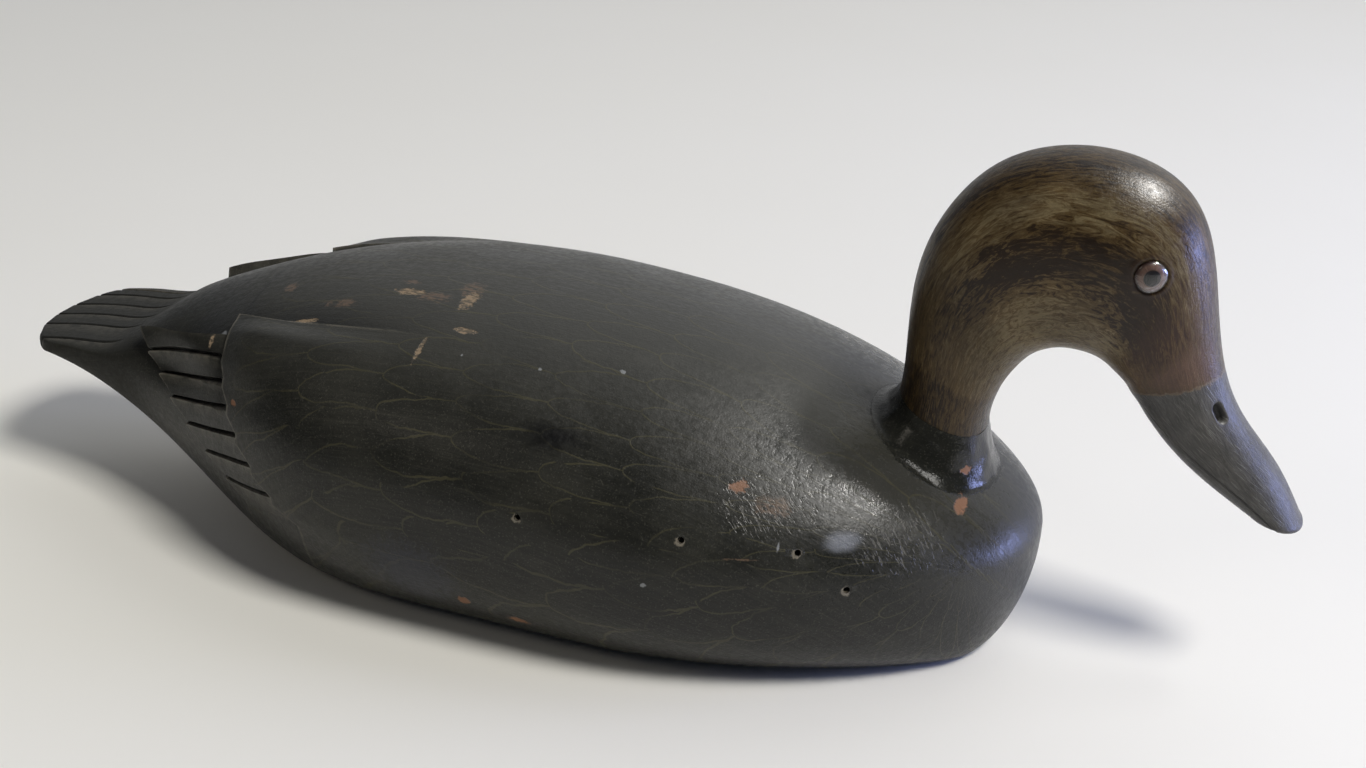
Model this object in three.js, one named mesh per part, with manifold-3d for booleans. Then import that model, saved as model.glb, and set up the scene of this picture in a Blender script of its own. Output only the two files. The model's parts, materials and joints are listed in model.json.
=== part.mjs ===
// A carved wooden duck decoy with a long neck, painted to look like a black duck.
// Four pieces: the body with its tail and wings, the head with its neck and bill, and two glass eyes.
// Millimetres. X runs from the tail to the bill, Y to the duck's left, Z up, and the floor is Z = 0.
import * as THREE from 'three';
import { mergeVertices } from 'three/addons/utils/BufferGeometryUtils.js';
import Module from 'manifold-3d';

const wasm = await Module();
wasm.setup();

// Driving dimensions
const OVERALL_LENGTH = 484;
const BODY_LENGTH = 400;
const TAIL_X = -OVERALL_LENGTH / 2;
const EYE_DIAMETER = 11;
const JOINT_GAP = 0.3;

// The body's pattern: sections across the carving, each placed by its distance from the tail tip.
// top and under are heights on the centre line, half is half the width, widest is the height of the
// widest place, turn is how far the flat underside stays inside it, and full is how square the top is.
const BODY_PATTERN = [
  { place: 'tail tip', along: 0, top: 56.6, under: 52.8, half: 26.5, widest: 55.6, turn: 14, full: 5 },
  { place: 'tail', along: 30, top: 60.8, under: 43.2, half: 31, widest: 57.2, turn: 17.5, full: 5 },
  { place: 'tail root', along: 46, top: 63.3, under: 35, half: 33.5, widest: 56, turn: 19, full: 3.8 },
  { place: 'rump', along: 62, top: 73.4, under: 26.5, half: 37.5, widest: 53.8, turn: 20.5, full: 2.3 },
  { place: 'wing tips', along: 100, top: 90.4, under: 6.6, half: 52.5, widest: 49.5, turn: 23, full: 2 },
  { place: 'wings', along: 150, top: 101.5, under: 0, half: 78, widest: 45.5, turn: 27, full: 2.2 },
  { place: 'back', along: 210, top: 104, under: 0, half: 87.5, widest: 45.3, turn: 29.5, full: 2.3 },
  { place: 'middle', along: 270, top: 99.6, under: 0, half: 89, widest: 43.4, turn: 30, full: 2.1 },
  { place: 'shoulder', along: 330, top: 90, under: 0, half: 86, widest: 40.7, turn: 33, full: 2.1 },
  { place: 'breast', along: BODY_LENGTH, top: 75.5, under: 0, half: 78, widest: 38.2, turn: 34.5, full: 2 },
];

// The breast closes in a rounded end. The tail ends in a rounded fan with a blunt edge.
const BREAST = { starts: 258, undersideStarts: 377.5, nose: 37.8, roundness: 2.16 };
const TAIL = { fanRound: 18, edgeRound: 1.6, edgeSqueeze: 0.45 };

// The head's pattern: sections from the neck seat over the crown to the bill.
// back is the point on the outer curve, front the one on the throat side, half is half the width.
const HEAD_PATTERN = [
  { place: 'neck root', back: [343, 69], front: [381.5, 64], half: 21 },
  { place: 'neck seat', back: [347.5, 88.5], front: [378, 76.8], half: 19 },
  { place: 'low neck', back: [348.5, 107], front: [380.5, 91], half: 19.2 },
  { place: 'neck', back: [349.5, 128], front: [385, 100.3], half: 20 },
  { place: 'nape', back: [356, 149.5], front: [390, 107], half: 23 },
  { place: 'back of crown', back: [373, 170], front: [394.8, 110.5], half: 25 },
  { place: 'crown', back: [399.3, 178.4], front: [400, 112.4], half: 26 },
  { place: 'brow', back: [424.3, 173.6], front: [406, 112.4], half: 25 },
  { place: 'forehead', back: [439.6, 158], front: [412.4, 110.3], half: 21.5 },
  { place: 'face', back: [446.3, 134], front: [417.8, 106.3], half: 18.5 },
  { place: 'bill root', back: [451.2, 112.7], front: [421.7, 102.3], half: 15.5 },
  { place: 'nostrils', back: [459.8, 95], front: [428.5, 92.3], half: 13.5 },
  { place: 'bill', back: [473, 79], front: [442.7, 78], half: 14 },
  { place: 'bill end', back: [483, 62.5], front: [464.2, 64.2], half: 12 },
];
const HEAD_FULLNESS = 2.2;
const SEAT_SECTION = 1;
const BILL_TIP_REACH = 6;

// How many strips the head has on each side, above its mandible line and below it.
const HEAD_STRIPS = { above: 6, below: 3 };

// The filler round the neck's foot runs out onto the body, furthest at the sides.
const COLLAR = { frontReach: 6, sideReach: 10, hollow: 2.2, sunk: 4, depth: 40 };

// The mandible line goes round the bill from the throat side to the middle of the tip, and the turn of
// a line on the head is its angle from the outer curve.
const MANDIBLE = { starts: 10.2, ends: 13, rootTurn: 140, tipTurn: 88, depth: 0.8, half: 3.5 };
const NOSTRIL = { section: 10.67, turn: 43, length: 8, width: 4.4, depth: 2 };
const EYE = { section: 7.57, turn: 71, bulge: 2.6, sunk: 0.5 };

// The wings: the flight feathers fan out behind the coverts, and a slip is the space of one feather,
// counted from the back. The turn of a line is its angle round the body.
const WING = {
  starts: 60,
  feathers: 7,
  tipStep: 3.9,
  arch: 6,
  bow: 4.5,
  covertStarts: 109,
  covertEdgeStep: 3,
  covertStep: 4.5,
  covertCrown: 6,
  covertSideStep: 2.9,
  grooveDepth: 1.5,
  lowGrooveDepth: 2.1,
  lowGroovesStart: 4,
  grooveEdge: 0.5,
  grooveLip: 2,
  innerTipTurn: 45.5,
  innerCovertTurn: 34.6,
  innerFadeTurn: 30.4,
};

// How steep a step is: half its width on the body in degrees, and the space its two columns take.
const WALL = { halfTurn: 0.3, width: 0.35 };

// How far apart the lines beside a groove run where there is no groove: on the tail and on the front.
const SPREAD = { tail: 4, front: 3.1 };

// The tail's grooves are cut from its edge forward, side by side, with one along each border. Their
// lines run on between the wings, where inner is the place of the wings' inner edges.
const TAIL_GROOVE = {
  first: -12,
  pitch: 10.3,
  count: 4,
  border: 25.4,
  inner: 22,
  innerShare: 0.93,
  depth: 1.1,
  half: 0.9,
  ends: 50,
  fade: 10,
};

// A smooth curve through the pattern's places, straight where it starts and ends.
function naturalSpline(places, values) {
  const count = places.length;
  const gap = places.slice(1).map((place, i) => place - places[i]);
  const bend = new Array(count).fill(0);
  const pull = new Array(count).fill(0);
  const load = new Array(count).fill(0);
  for (let i = 1; i < count - 1; i += 1) {
    const rise = (values[i + 1] - values[i]) / gap[i] - (values[i] - values[i - 1]) / gap[i - 1];
    const span = 2 * (gap[i - 1] + gap[i]) - gap[i - 1] * pull[i - 1];
    pull[i] = gap[i] / span;
    load[i] = (6 * rise - gap[i - 1] * load[i - 1]) / span;
  }
  for (let i = count - 2; i > 0; i -= 1) bend[i] = load[i] - pull[i] * bend[i + 1];
  return (place) => {
    let i = 0;
    while (i < count - 2 && place > places[i + 1]) i += 1;
    const before = place - places[i];
    const after = places[i + 1] - place;
    const cubic = (bend[i] * after ** 3 + bend[i + 1] * before ** 3) / (6 * gap[i]);
    const low = values[i] / gap[i] - (bend[i] * gap[i]) / 6;
    const high = values[i + 1] / gap[i] - (bend[i + 1] * gap[i]) / 6;
    return cubic + low * after + high * before;
  };
}

function clamp(value, low, high) {
  return Math.min(Math.max(value, low), high);
}

function ease(value) {
  const part = clamp(value, 0, 1);
  return part * part * (3 - 2 * part);
}

function mix(from, to, part) {
  return from + (to - from) * part;
}

function patternCurve(pattern, key) {
  return naturalSpline(pattern.map((row) => row.along), pattern.map((row) => row[key]));
}

const bodyCurve = {};
for (const key of ['top', 'under', 'half', 'widest', 'turn', 'full']) {
  bodyCurve[key] = patternCurve(BODY_PATTERN, key);
}

// How much of its full size a rounded end keeps at a part of the way to the end.
function roundedEnd(part, roundness) {
  return (1 - clamp(part, 0, 1) ** roundness) ** (1 / roundness);
}

function bodySection(along) {
  const breastPart = (along - BREAST.starts) / (BODY_LENGTH - BREAST.starts);
  const breast = roundedEnd(breastPart, BREAST.roundness);
  const keelPart = (along - BREAST.undersideStarts) / (BODY_LENGTH - BREAST.undersideStarts);
  const keel = roundedEnd(keelPart, BREAST.roundness);
  const top = mix(BREAST.nose, bodyCurve.top(along), breast);
  const under = mix(BREAST.nose, Math.max(bodyCurve.under(along), 0), keel);
  const half = bodyCurve.half(along) * breast;
  return {
    top,
    under,
    half,
    widest: Math.min(mix(BREAST.nose, bodyCurve.widest(along), breast), top - 0.05 * (top - under)),
    bottom: Math.max(half - bodyCurve.turn(along) * breast, 0) * keel,
    full: bodyCurve.full(along),
  };
}

// The turn is an angle round the body: 0 on the back, 90 at the widest place, 180 at the edge of the
// flat underside. It is positive on the duck's right side and negative on its left.
function bodyPoint(along, turn) {
  const section = bodySection(along);
  const side = turn < 0 ? 1 : -1;
  const angle = THREE.MathUtils.degToRad(Math.abs(turn));
  const sine = Math.sin(angle);
  const cosine = Math.cos(angle);
  if (Math.abs(turn) > 90) {
    const y = side * (section.bottom + (section.half - section.bottom) * sine);
    return new THREE.Vector3(along, y, section.widest + (section.widest - section.under) * cosine);
  }
  const reach = (sine ** section.full + Math.abs(cosine) ** section.full) ** (1 / section.full);
  const z = section.widest + ((section.top - section.widest) * cosine) / reach;
  return new THREE.Vector3(along, (side * section.half * sine) / reach, z);
}

function bodyNormal(along, turn) {
  const step = 0.3;
  const back = Math.max(along - step, 0);
  const ahead = Math.min(along + step, BODY_LENGTH);
  const forward = bodyPoint(ahead, turn).sub(bodyPoint(back, turn));
  const round = bodyPoint(along, turn + step).sub(bodyPoint(along, turn - step));
  return round.cross(forward).normalize();
}

// The turn of the upper surface's place at a distance to the right of the centre line.
function turnAt(along, toRight) {
  const section = bodySection(along);
  const share = Math.min(Math.abs(toRight) / section.half, 0.999);
  const slope = share / (1 - share ** section.full) ** (1 / section.full);
  return Math.sign(toRight) * THREE.MathUtils.radToDeg(Math.atan(slope));
}

// Height of the body's upper surface over a place in plan.
function backHeight(along, y) {
  const section = bodySection(along);
  const part = 1 - clamp(Math.abs(y) / section.half, 0, 1) ** section.full;
  return section.widest + (section.top - section.widest) * part ** (1 / section.full);
}

// Where the end of a slip's feather and the edge of the coverts over it lie on the body.
function wingPlaces(slip) {
  return {
    tipAlong: 63 + 5.1 * slip + 0.45 * slip ** 2,
    tipTurn: WING.innerTipTurn + 14.2 * slip - 0.55 * slip ** 2,
    covertAlong: 110.5 + 0.86 * slip ** 2,
    covertTurn: 43.5 + 9 * slip,
  };
}

// The coverts' inner edge runs forward over the back and fades into it.
function covertInnerTurn(along) {
  return mix(WING.innerCovertTurn, WING.innerFadeTurn, clamp((along - 108) / 68, 0, 1));
}

// The flight feathers arch up beside the hollow rump and thin out down the side.
function flightLift(along, turn) {
  const fade = clamp((112 - along) / 52, 0, 1) ** 0.6;
  const arch = WING.arch * Math.sin(Math.PI * clamp((along - 56) / 58, 0, 1));
  const side = ease((turn - 46) / 24);
  const lift = WING.tipStep * fade * mix(1, 0.4, side) + arch * (1 - side) + 0.2;
  return lift * (1 - ease((turn - 102) / 16));
}

// The coverts start as a low step at their inner edge and swell to their full height beside it.
function covertLift(along, turn) {
  const edge = WING.covertEdgeStep * (1 - ease((along - 106) / 38));
  const crown = mix(WING.covertStep, WING.covertCrown, ease((along - 109) / 16));
  const fade = 1 - ease((along - 108) / 90);
  const full = mix(crown, WING.covertSideStep, ease((turn - 45) / 22)) * fade;
  const swell = ease((turn - covertInnerTurn(along)) / 10);
  return mix(edge, full, swell) * (1 - ease((turn - 100) / 14));
}

// Lines of a net drawn over the body, from the tail's edge to the breast. Each says its turn beside
// the tail, on the wing's two edges and on the front, how deep it is cut, and what it is raised by.
function topLine(toRight, share, tailCut) {
  return {
    tail: (along) => turnAt(along, toRight),
    tip: { along: WING.starts, turn: turnAt(WING.starts, toRight) },
    covert: { along: WING.covertStarts, turn: share * WING.innerCovertTurn },
    front: (along) => share * covertInnerTurn(along),
    bow: 0,
    tailCut,
    wingCut: 0,
    flight: false,
    coverts: false,
  };
}

function wingLine(side, slip, options) {
  const { spread = 0, offset = 0, tailCut = 0, wingCut = 0, flight = true, border = 0 } = options;
  const place = wingPlaces(slip);
  const tailTurn = side * (place.tipTurn + SPREAD.tail * spread);
  const borderPlace = side * (TAIL_GROOVE.border + border);
  return {
    tail: slip === 0 ? (along) => turnAt(along, borderPlace) : () => tailTurn,
    tip: { along: place.tipAlong, turn: side * (place.tipTurn + offset) },
    covert: { along: place.covertAlong, turn: side * (place.covertTurn + offset) },
    front: () => side * (place.covertTurn + SPREAD.front * spread),
    bow: slip === 0 ? side * WING.bow : 0,
    tailCut,
    wingCut,
    flight,
    coverts: true,
  };
}

function bellyLine(side, part) {
  const place = wingPlaces(WING.feathers);
  const tailTurn = side * mix(place.tipTurn, 180, part);
  const frontTurn = side * mix(place.covertTurn, 180, part);
  return {
    tail: () => tailTurn,
    tip: { along: place.tipAlong, turn: tailTurn },
    covert: { along: place.covertAlong, turn: frontTurn },
    front: () => frontTurn,
    bow: 0,
    tailCut: 0,
    wingCut: 0,
    flight: true,
    coverts: true,
  };
}

// A line on one side of the coverts' inner edge: step -1 lies on the back, and 1 on the coverts.
function innerEdgeLine(side, step) {
  const line = topLine(side * (TAIL_GROOVE.inner + WALL.halfTurn * step), side, 0);
  line.covert.turn += side * step * WALL.halfTurn;
  line.front = (along) => side * (covertInnerTurn(along) + step * WALL.halfTurn);
  line.coverts = step > 0;
  return line;
}

// One side's lines from the coverts' inner edge down to the edge of the underside.
function sideLines(side) {
  const lines = [innerEdgeLine(side, -1), innerEdgeLine(side, 1)];
  const { half, depth } = TAIL_GROOVE;
  const edge = WALL.halfTurn;
  lines.push(wingLine(side, 0, { spread: -1, offset: -edge, flight: false, border: -half }));
  lines.push(wingLine(side, 0, { tailCut: depth, flight: false }));
  lines.push(wingLine(side, 0, { spread: 1, offset: edge, border: half }));
  for (let slip = 1; slip < WING.feathers; slip += 1) {
    const wingCut = slip < WING.lowGroovesStart ? WING.grooveDepth : WING.lowGrooveDepth;
    lines.push(wingLine(side, slip, { spread: -1, offset: -WING.grooveEdge }));
    lines.push(wingLine(side, slip, { wingCut }));
    lines.push(wingLine(side, slip, { spread: 1, offset: WING.grooveLip }));
  }
  const bellyLines = 7;
  for (let i = 0; i <= bellyLines; i += 1) lines.push(bellyLine(side, i / bellyLines));
  return lines;
}

// The lines between the two wings, with a cut line in the middle of each tail groove.
function middleLines() {
  const { first, pitch, count, inner, innerShare, depth, half } = TAIL_GROOVE;
  const shareAt = (toRight) => clamp(toRight / inner, -1, 1) * innerShare;
  const lines = [];
  for (let i = count - 1; i >= 0; i -= 1) {
    const toRight = -(first + pitch * i);
    for (const step of [-1, 0, 1]) {
      const share = shareAt(toRight + (step * pitch) / 4);
      lines.push(topLine(toRight + step * half, share, step === 0 ? depth : 0));
    }
    const between = toRight + pitch / 2;
    if (i > 0) lines.push(topLine(between, shareAt(between), 0));
  }
  return lines;
}

// Where a line starts on the tail's rounded edge.
function tailStart(line) {
  let along = 0;
  for (let round = 0; round < 12; round += 1) {
    const share = Math.min(Math.abs(bodyPoint(along, line.tail(along)).y) / bodySection(along).half, 1);
    along = TAIL.fanRound * (1 - Math.sqrt(1 - share ** 2));
  }
  return along;
}

// The columns across the net: on the tail, on the flight feathers, and on the coverts and the front.
// Each holds a part of its stretch and a small distance added to it, so that steps have steep walls.
function bodyColumns() {
  const wall = WALL.width;
  const columns = [
    { stretch: 'tail', part: 0, plus: 0, squeeze: TAIL.edgeSqueeze },
    { stretch: 'tail', part: 0, plus: TAIL.edgeRound },
  ];
  for (const part of [0.15, 0.3, 0.45, 0.6, 0.75, 0.88]) columns.push({ stretch: 'tail', part, plus: 0 });
  columns.push({ stretch: 'tail', part: 1, plus: -wall });
  columns.push({ stretch: 'flight', part: 0, plus: wall });
  for (const part of [0.35, 0.7]) columns.push({ stretch: 'flight', part, plus: 0 });
  columns.push({ stretch: 'flight', part: 1, plus: -wall });
  columns.push({ stretch: 'front', part: 0, plus: wall });
  const frontColumns = 21;
  for (let i = 1; i < frontColumns; i += 1) {
    columns.push({ stretch: 'front', part: 1 - (1 - i / frontColumns) ** 2, plus: 0 });
  }
  return columns;
}

function netPoint(line, column) {
  const start = line.start;
  let along;
  let turn;
  let cut = 0;
  let lift = 0;
  if (column.stretch === 'tail') {
    along = mix(start, line.tip.along, column.part) + column.plus;
    turn = mix(line.tail(along), line.tip.turn, ease((column.part - 0.7) / 0.3));
    cut = line.tailCut * clamp((TAIL_GROOVE.ends - along) / TAIL_GROOVE.fade, 0, 1);
  } else if (column.stretch === 'flight') {
    along = mix(line.tip.along, line.covert.along, column.part) + column.plus;
    turn = mix(line.tip.turn, line.covert.turn, column.part) + line.bow * Math.sin(Math.PI * column.part);
    cut = line.wingCut;
    if (line.flight) lift = flightLift(along, Math.abs(turn));
  } else {
    along = mix(line.covert.along, BODY_LENGTH, column.part) + column.plus;
    turn = mix(line.covert.turn, line.front(along), ease(column.part * 8));
    if (line.coverts) lift = covertLift(along, Math.abs(turn));
  }
  const point = bodyPoint(along, turn).addScaledVector(bodyNormal(along, turn), lift - cut);
  if (column.squeeze) {
    const section = bodySection(along);
    point.z = mix((section.top + section.under) / 2, point.z, column.squeeze);
  }
  return point;
}

// A closed mesh from its points and triangles, with its faces pointing out.
function closedGeometry(points, triangles) {
  let volume = 0;
  for (const [a, b, c] of triangles) volume += points[a].dot(points[b].clone().cross(points[c]));
  const faces = volume < 0 ? triangles.map(([a, b, c]) => [a, c, b]) : triangles;
  const places = points.flatMap((point) => point.toArray());
  const geometry = new THREE.BufferGeometry();
  geometry.setAttribute('position', new THREE.Float32BufferAttribute(places, 3));
  geometry.setIndex(faces.flat());
  return geometry;
}

function toSolid(geometry) {
  const bare = geometry.clone();
  bare.deleteAttribute('normal');
  bare.deleteAttribute('uv');
  const merged = mergeVertices(bare, 1e-4);
  return new wasm.Manifold(new wasm.Mesh({
    numProp: 3,
    vertProperties: new Float32Array(merged.attributes.position.array),
    triVerts: new Uint32Array(merged.index.array),
  }));
}

function toGeometry(solid) {
  const mesh = solid.getMesh();
  const geometry = new THREE.BufferGeometry();
  geometry.setAttribute('position', new THREE.BufferAttribute(new Float32Array(mesh.vertProperties), 3));
  geometry.setIndex(new THREE.BufferAttribute(new Uint32Array(mesh.triVerts), 1));
  return geometry;
}

// Faces between neighbouring rings of the same number of points.
function ringFaces(rings, count) {
  const faces = [];
  for (let ring = 0; ring < rings - 1; ring += 1) {
    for (let i = 0; i < count; i += 1) {
      const next = (i + 1) % count;
      const here = ring * count;
      const there = here + count;
      faces.push([here + i, here + next, there + i], [here + next, there + next, there + i]);
    }
  }
  return faces;
}

// Faces from one ring to a point in its middle, for either end of a stack of rings.
function capFaces(start, count, apex, isLast) {
  const faces = [];
  for (let i = 0; i < count; i += 1) {
    const next = (i + 1) % count;
    faces.push(isLast ? [start + i, start + next, apex] : [start + next, start + i, apex]);
  }
  return faces;
}

// The tail's blunt edge: faces from the upper border of the first ring to its lower border.
function tailEdgeFaces(points, count) {
  let left = 0;
  let right = 0;
  for (let i = 0; i < count; i += 1) {
    if (points[i].y > points[left].y) left = i;
    if (points[i].y < points[right].y) right = i;
  }
  const upper = [];
  for (let i = left; i <= right; i += 1) upper.push(i);
  const lower = [];
  for (let i = left; i >= 0; i -= 1) lower.push(i);
  for (let i = count - 1; i >= right; i -= 1) lower.push(i);
  const faces = [];
  let over = 0;
  let below = 0;
  while (over < upper.length - 1 || below < lower.length - 1) {
    const nextOver = over < upper.length - 1 ? points[upper[over + 1]].y : -Infinity;
    const nextBelow = below < lower.length - 1 ? points[lower[below + 1]].y : -Infinity;
    const goesOver = nextOver >= nextBelow;
    const face = goesOver
      ? [upper[over + 1], upper[over], lower[below]]
      : [lower[below], lower[below + 1], upper[over]];
    if (new Set(face).size === 3) faces.push(face);
    if (goesOver) over += 1;
    else below += 1;
  }
  return faces;
}

function carvedBody() {
  const lines = [...sideLines(-1).reverse(), ...middleLines(), ...sideLines(1)];
  for (const line of lines) line.start = tailStart(line);
  const columns = bodyColumns();
  const points = columns.flatMap((column) => lines.map((line) => netPoint(line, column)));
  points.push(new THREE.Vector3(BODY_LENGTH, 0, BREAST.nose));
  const faces = [
    ...tailEdgeFaces(points, lines.length),
    ...ringFaces(columns.length, lines.length),
    ...capFaces((columns.length - 1) * lines.length, lines.length, points.length - 1, true),
  ];
  return closedGeometry(points, faces);
}

const headCurve = {};
const headPlaces = HEAD_PATTERN.map((row, i) => i);
headCurve.backX = naturalSpline(headPlaces, HEAD_PATTERN.map((row) => row.back[0]));
headCurve.backZ = naturalSpline(headPlaces, HEAD_PATTERN.map((row) => row.back[1]));
headCurve.frontX = naturalSpline(headPlaces, HEAD_PATTERN.map((row) => row.front[0]));
headCurve.frontZ = naturalSpline(headPlaces, HEAD_PATTERN.map((row) => row.front[1]));
headCurve.half = naturalSpline(headPlaces, HEAD_PATTERN.map((row) => row.half));

function headSection(section) {
  const back = new THREE.Vector3(headCurve.backX(section), 0, headCurve.backZ(section));
  const front = new THREE.Vector3(headCurve.frontX(section), 0, headCurve.frontZ(section));
  return {
    middle: back.clone().lerp(front, 0.5),
    reach: back.sub(front).multiplyScalar(0.5),
    half: headCurve.half(section),
  };
}

// A point on the head: its turn is 0 on the outer curve, 180 on the throat side, positive to the right.
function headPoint(section, turn, shrink = 1) {
  const { middle, reach, half } = headSection(section);
  const angle = THREE.MathUtils.degToRad(turn);
  const sine = Math.sin(angle);
  const cosine = Math.cos(angle);
  const sum = Math.abs(sine) ** HEAD_FULLNESS + Math.abs(cosine) ** HEAD_FULLNESS;
  const size = sum ** (-1 / HEAD_FULLNESS);
  const point = middle.clone().addScaledVector(reach, cosine * size * shrink);
  point.y = -half * sine * size * shrink;
  return point;
}

function headNormal(section, turn) {
  const step = 0.02;
  const onward = headPoint(section + step, turn).sub(headPoint(section - step, turn));
  const round = headPoint(section, turn + 1).sub(headPoint(section, turn - 1));
  return onward.cross(round).normalize();
}

// The turns of the lines that run along one side of the head, the mandible line among them.
function headTurns(section) {
  const part = ease((section - MANDIBLE.starts) / (MANDIBLE.ends - MANDIBLE.starts));
  const line = mix(MANDIBLE.rootTurn, MANDIBLE.tipTurn, part);
  const { above, below } = HEAD_STRIPS;
  const turns = [];
  for (let i = 1; i <= above; i += 1) turns.push(((line - MANDIBLE.half) * i) / above);
  turns.push(line);
  for (let i = 0; i < below; i += 1) turns.push(mix(line + MANDIBLE.half, 180, i / below));
  return turns;
}

function headRing(section, shrink = 1) {
  const oneSide = headTurns(section);
  const turns = [0, ...oneSide, 180, ...oneSide.map((turn) => -turn).reverse()];
  const lineIndex = HEAD_STRIPS.above + 1;
  const depth = MANDIBLE.depth * ease((section - MANDIBLE.starts) / 0.5);
  return turns.map((turn, i) => {
    const point = headPoint(section, turn, shrink);
    const isMandible = i === lineIndex || i === turns.length - lineIndex;
    if (isMandible) point.addScaledVector(headNormal(section, turn), -depth * shrink);
    return point;
  });
}

// The head from just above its seat to the rounded tip of the bill.
function headGeometry() {
  const rings = [];
  const lastSection = HEAD_PATTERN.length - 1;
  const neckRings = 38;
  for (let i = 0; i <= neckRings; i += 1) {
    rings.push(headRing(mix(SEAT_SECTION, lastSection, i / neckRings)));
  }
  const seatGap = rings[1][0].clone().sub(rings[0][0]).setLength(JOINT_GAP);
  for (const point of rings[0]) point.add(seatGap);
  const end = headSection(lastSection).middle;
  const onward = end.clone().sub(headSection(lastSection - 0.2).middle).setLength(BILL_TIP_REACH);
  for (const part of [0.45, 0.8, 0.96]) {
    const ring = headRing(lastSection, Math.sqrt(1 - part ** 2));
    rings.push(ring.map((point) => point.addScaledVector(onward, part)));
  }
  const count = rings[0].length;
  const points = rings.flat();
  points.push(headSection(SEAT_SECTION).middle.add(seatGap), end.clone().add(onward));
  const faces = [
    ...capFaces(0, count, points.length - 2, false),
    ...ringFaces(rings.length, count),
    ...capFaces((rings.length - 1) * count, count, points.length - 1, true),
  ];
  return closedGeometry(points, faces);
}

// The filler round the neck's foot: it leaves the body hollow-sided and meets the flat neck seat.
function collarGeometry() {
  const seat = headRing(SEAT_SECTION);
  const middle = headSection(SEAT_SECTION).middle;
  const parts = [1.3, 1, 0.75, 0.5, 0.3, 0.14, 0];
  const rings = parts.map((part) => seat.map((foot) => {
    const outward = new THREE.Vector3(foot.x - middle.x, foot.y, 0).normalize();
    const reach = mix(COLLAR.sideReach, COLLAR.frontReach, ease(outward.x));
    const place = foot.clone().addScaledVector(outward, reach * part);
    const rise = foot.z - backHeight(foot.x, foot.y);
    const sunk = part > 1 ? COLLAR.sunk : 0;
    place.z = backHeight(place.x, place.y) + rise * Math.max(1 - part, 0) ** COLLAR.hollow - sunk;
    return place;
  }));
  const count = seat.length;
  const points = rings.flat();
  points.push(new THREE.Vector3(middle.x, 0, middle.z - COLLAR.depth), middle);
  const faces = [
    ...capFaces(0, count, points.length - 2, false),
    ...ringFaces(rings.length, count),
    ...capFaces((rings.length - 1) * count, count, points.length - 1, true),
  ];
  return closedGeometry(points, faces);
}

// A rounded button laid into the head's surface, for an eye or the hollow of a socket or a nostril.
function buttonGeometry(section, turn, size, sunk, onwardTurn = 0) {
  const normal = headNormal(section, turn);
  const onward = headPoint(section + 0.1, turn + onwardTurn).sub(headPoint(section, turn));
  const along = onward.addScaledVector(normal, -onward.dot(normal)).normalize();
  const across = new THREE.Vector3().crossVectors(normal, along);
  const centre = headPoint(section, turn).addScaledVector(normal, -sunk);
  const geometry = new THREE.SphereGeometry(1, 18, 10);
  geometry.scale(size[0], size[1], size[2]);
  geometry.applyMatrix4(new THREE.Matrix4().makeBasis(along, across, normal).setPosition(centre));
  return geometry;
}

function eyeGeometry(side) {
  const radius = EYE_DIAMETER / 2;
  return buttonGeometry(EYE.section, side * EYE.turn, [radius, radius, EYE.bulge], EYE.sunk);
}

function carvedHead() {
  let head = toSolid(headGeometry());
  const socketRadius = EYE_DIAMETER / 2 + JOINT_GAP;
  for (const side of [-1, 1]) {
    const socketSize = [socketRadius, socketRadius, EYE.bulge + JOINT_GAP];
    const nostrilSize = [NOSTRIL.length / 2, NOSTRIL.width / 2, NOSTRIL.depth];
    head = head.subtract(toSolid(buttonGeometry(EYE.section, side * EYE.turn, socketSize, EYE.sunk)));
    head = head.subtract(toSolid(buttonGeometry(NOSTRIL.section, side * NOSTRIL.turn, nostrilSize, 0)));
  }
  return toGeometry(head);
}

const PAINT = {
  body: new THREE.MeshStandardMaterial({ color: 0x2f2d2b, roughness: 0.5, metalness: 0 }),
  head: new THREE.MeshStandardMaterial({ color: 0x3d3424, roughness: 0.45, metalness: 0 }),
};

function namedMesh(name, geometry, material) {
  const faceted = geometry.index ? geometry.toNonIndexed() : geometry;
  faceted.deleteAttribute('uv');
  faceted.computeVertexNormals();
  const mesh = new THREE.Mesh(faceted, material);
  mesh.name = name;
  return mesh;
}

const decoy = new THREE.Group();
const body = toSolid(carvedBody()).add(toSolid(collarGeometry()));
decoy.add(namedMesh('body', toGeometry(body), PAINT.body));
decoy.add(namedMesh('head', carvedHead(), PAINT.head));
for (const [name, side] of [['eye_left', -1], ['eye_right', 1]]) {
  const glass = new THREE.MeshStandardMaterial({ color: 0x3a2d24, roughness: 0.05, metalness: 0 });
  decoy.add(namedMesh(name, eyeGeometry(side), glass));
}
decoy.position.x = TAIL_X;

export default decoy;
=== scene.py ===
# %% [markdown]
# # A carved duck decoy
# Hunters once floated carved wooden ducks to bring wild ones near. This one is a long-necked duck
# in old dark paint, standing on its flat underside. The CAD model gives the sizes and the solids, and
# this lesson makes the finer pieces that are seen: a body with cut feathers, a head with its bill,
# and two glass eyes.

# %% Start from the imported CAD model
import json
import math

import bpy
import bmesh
import numpy as np
from mathutils import Matrix, Vector, noise

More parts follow.
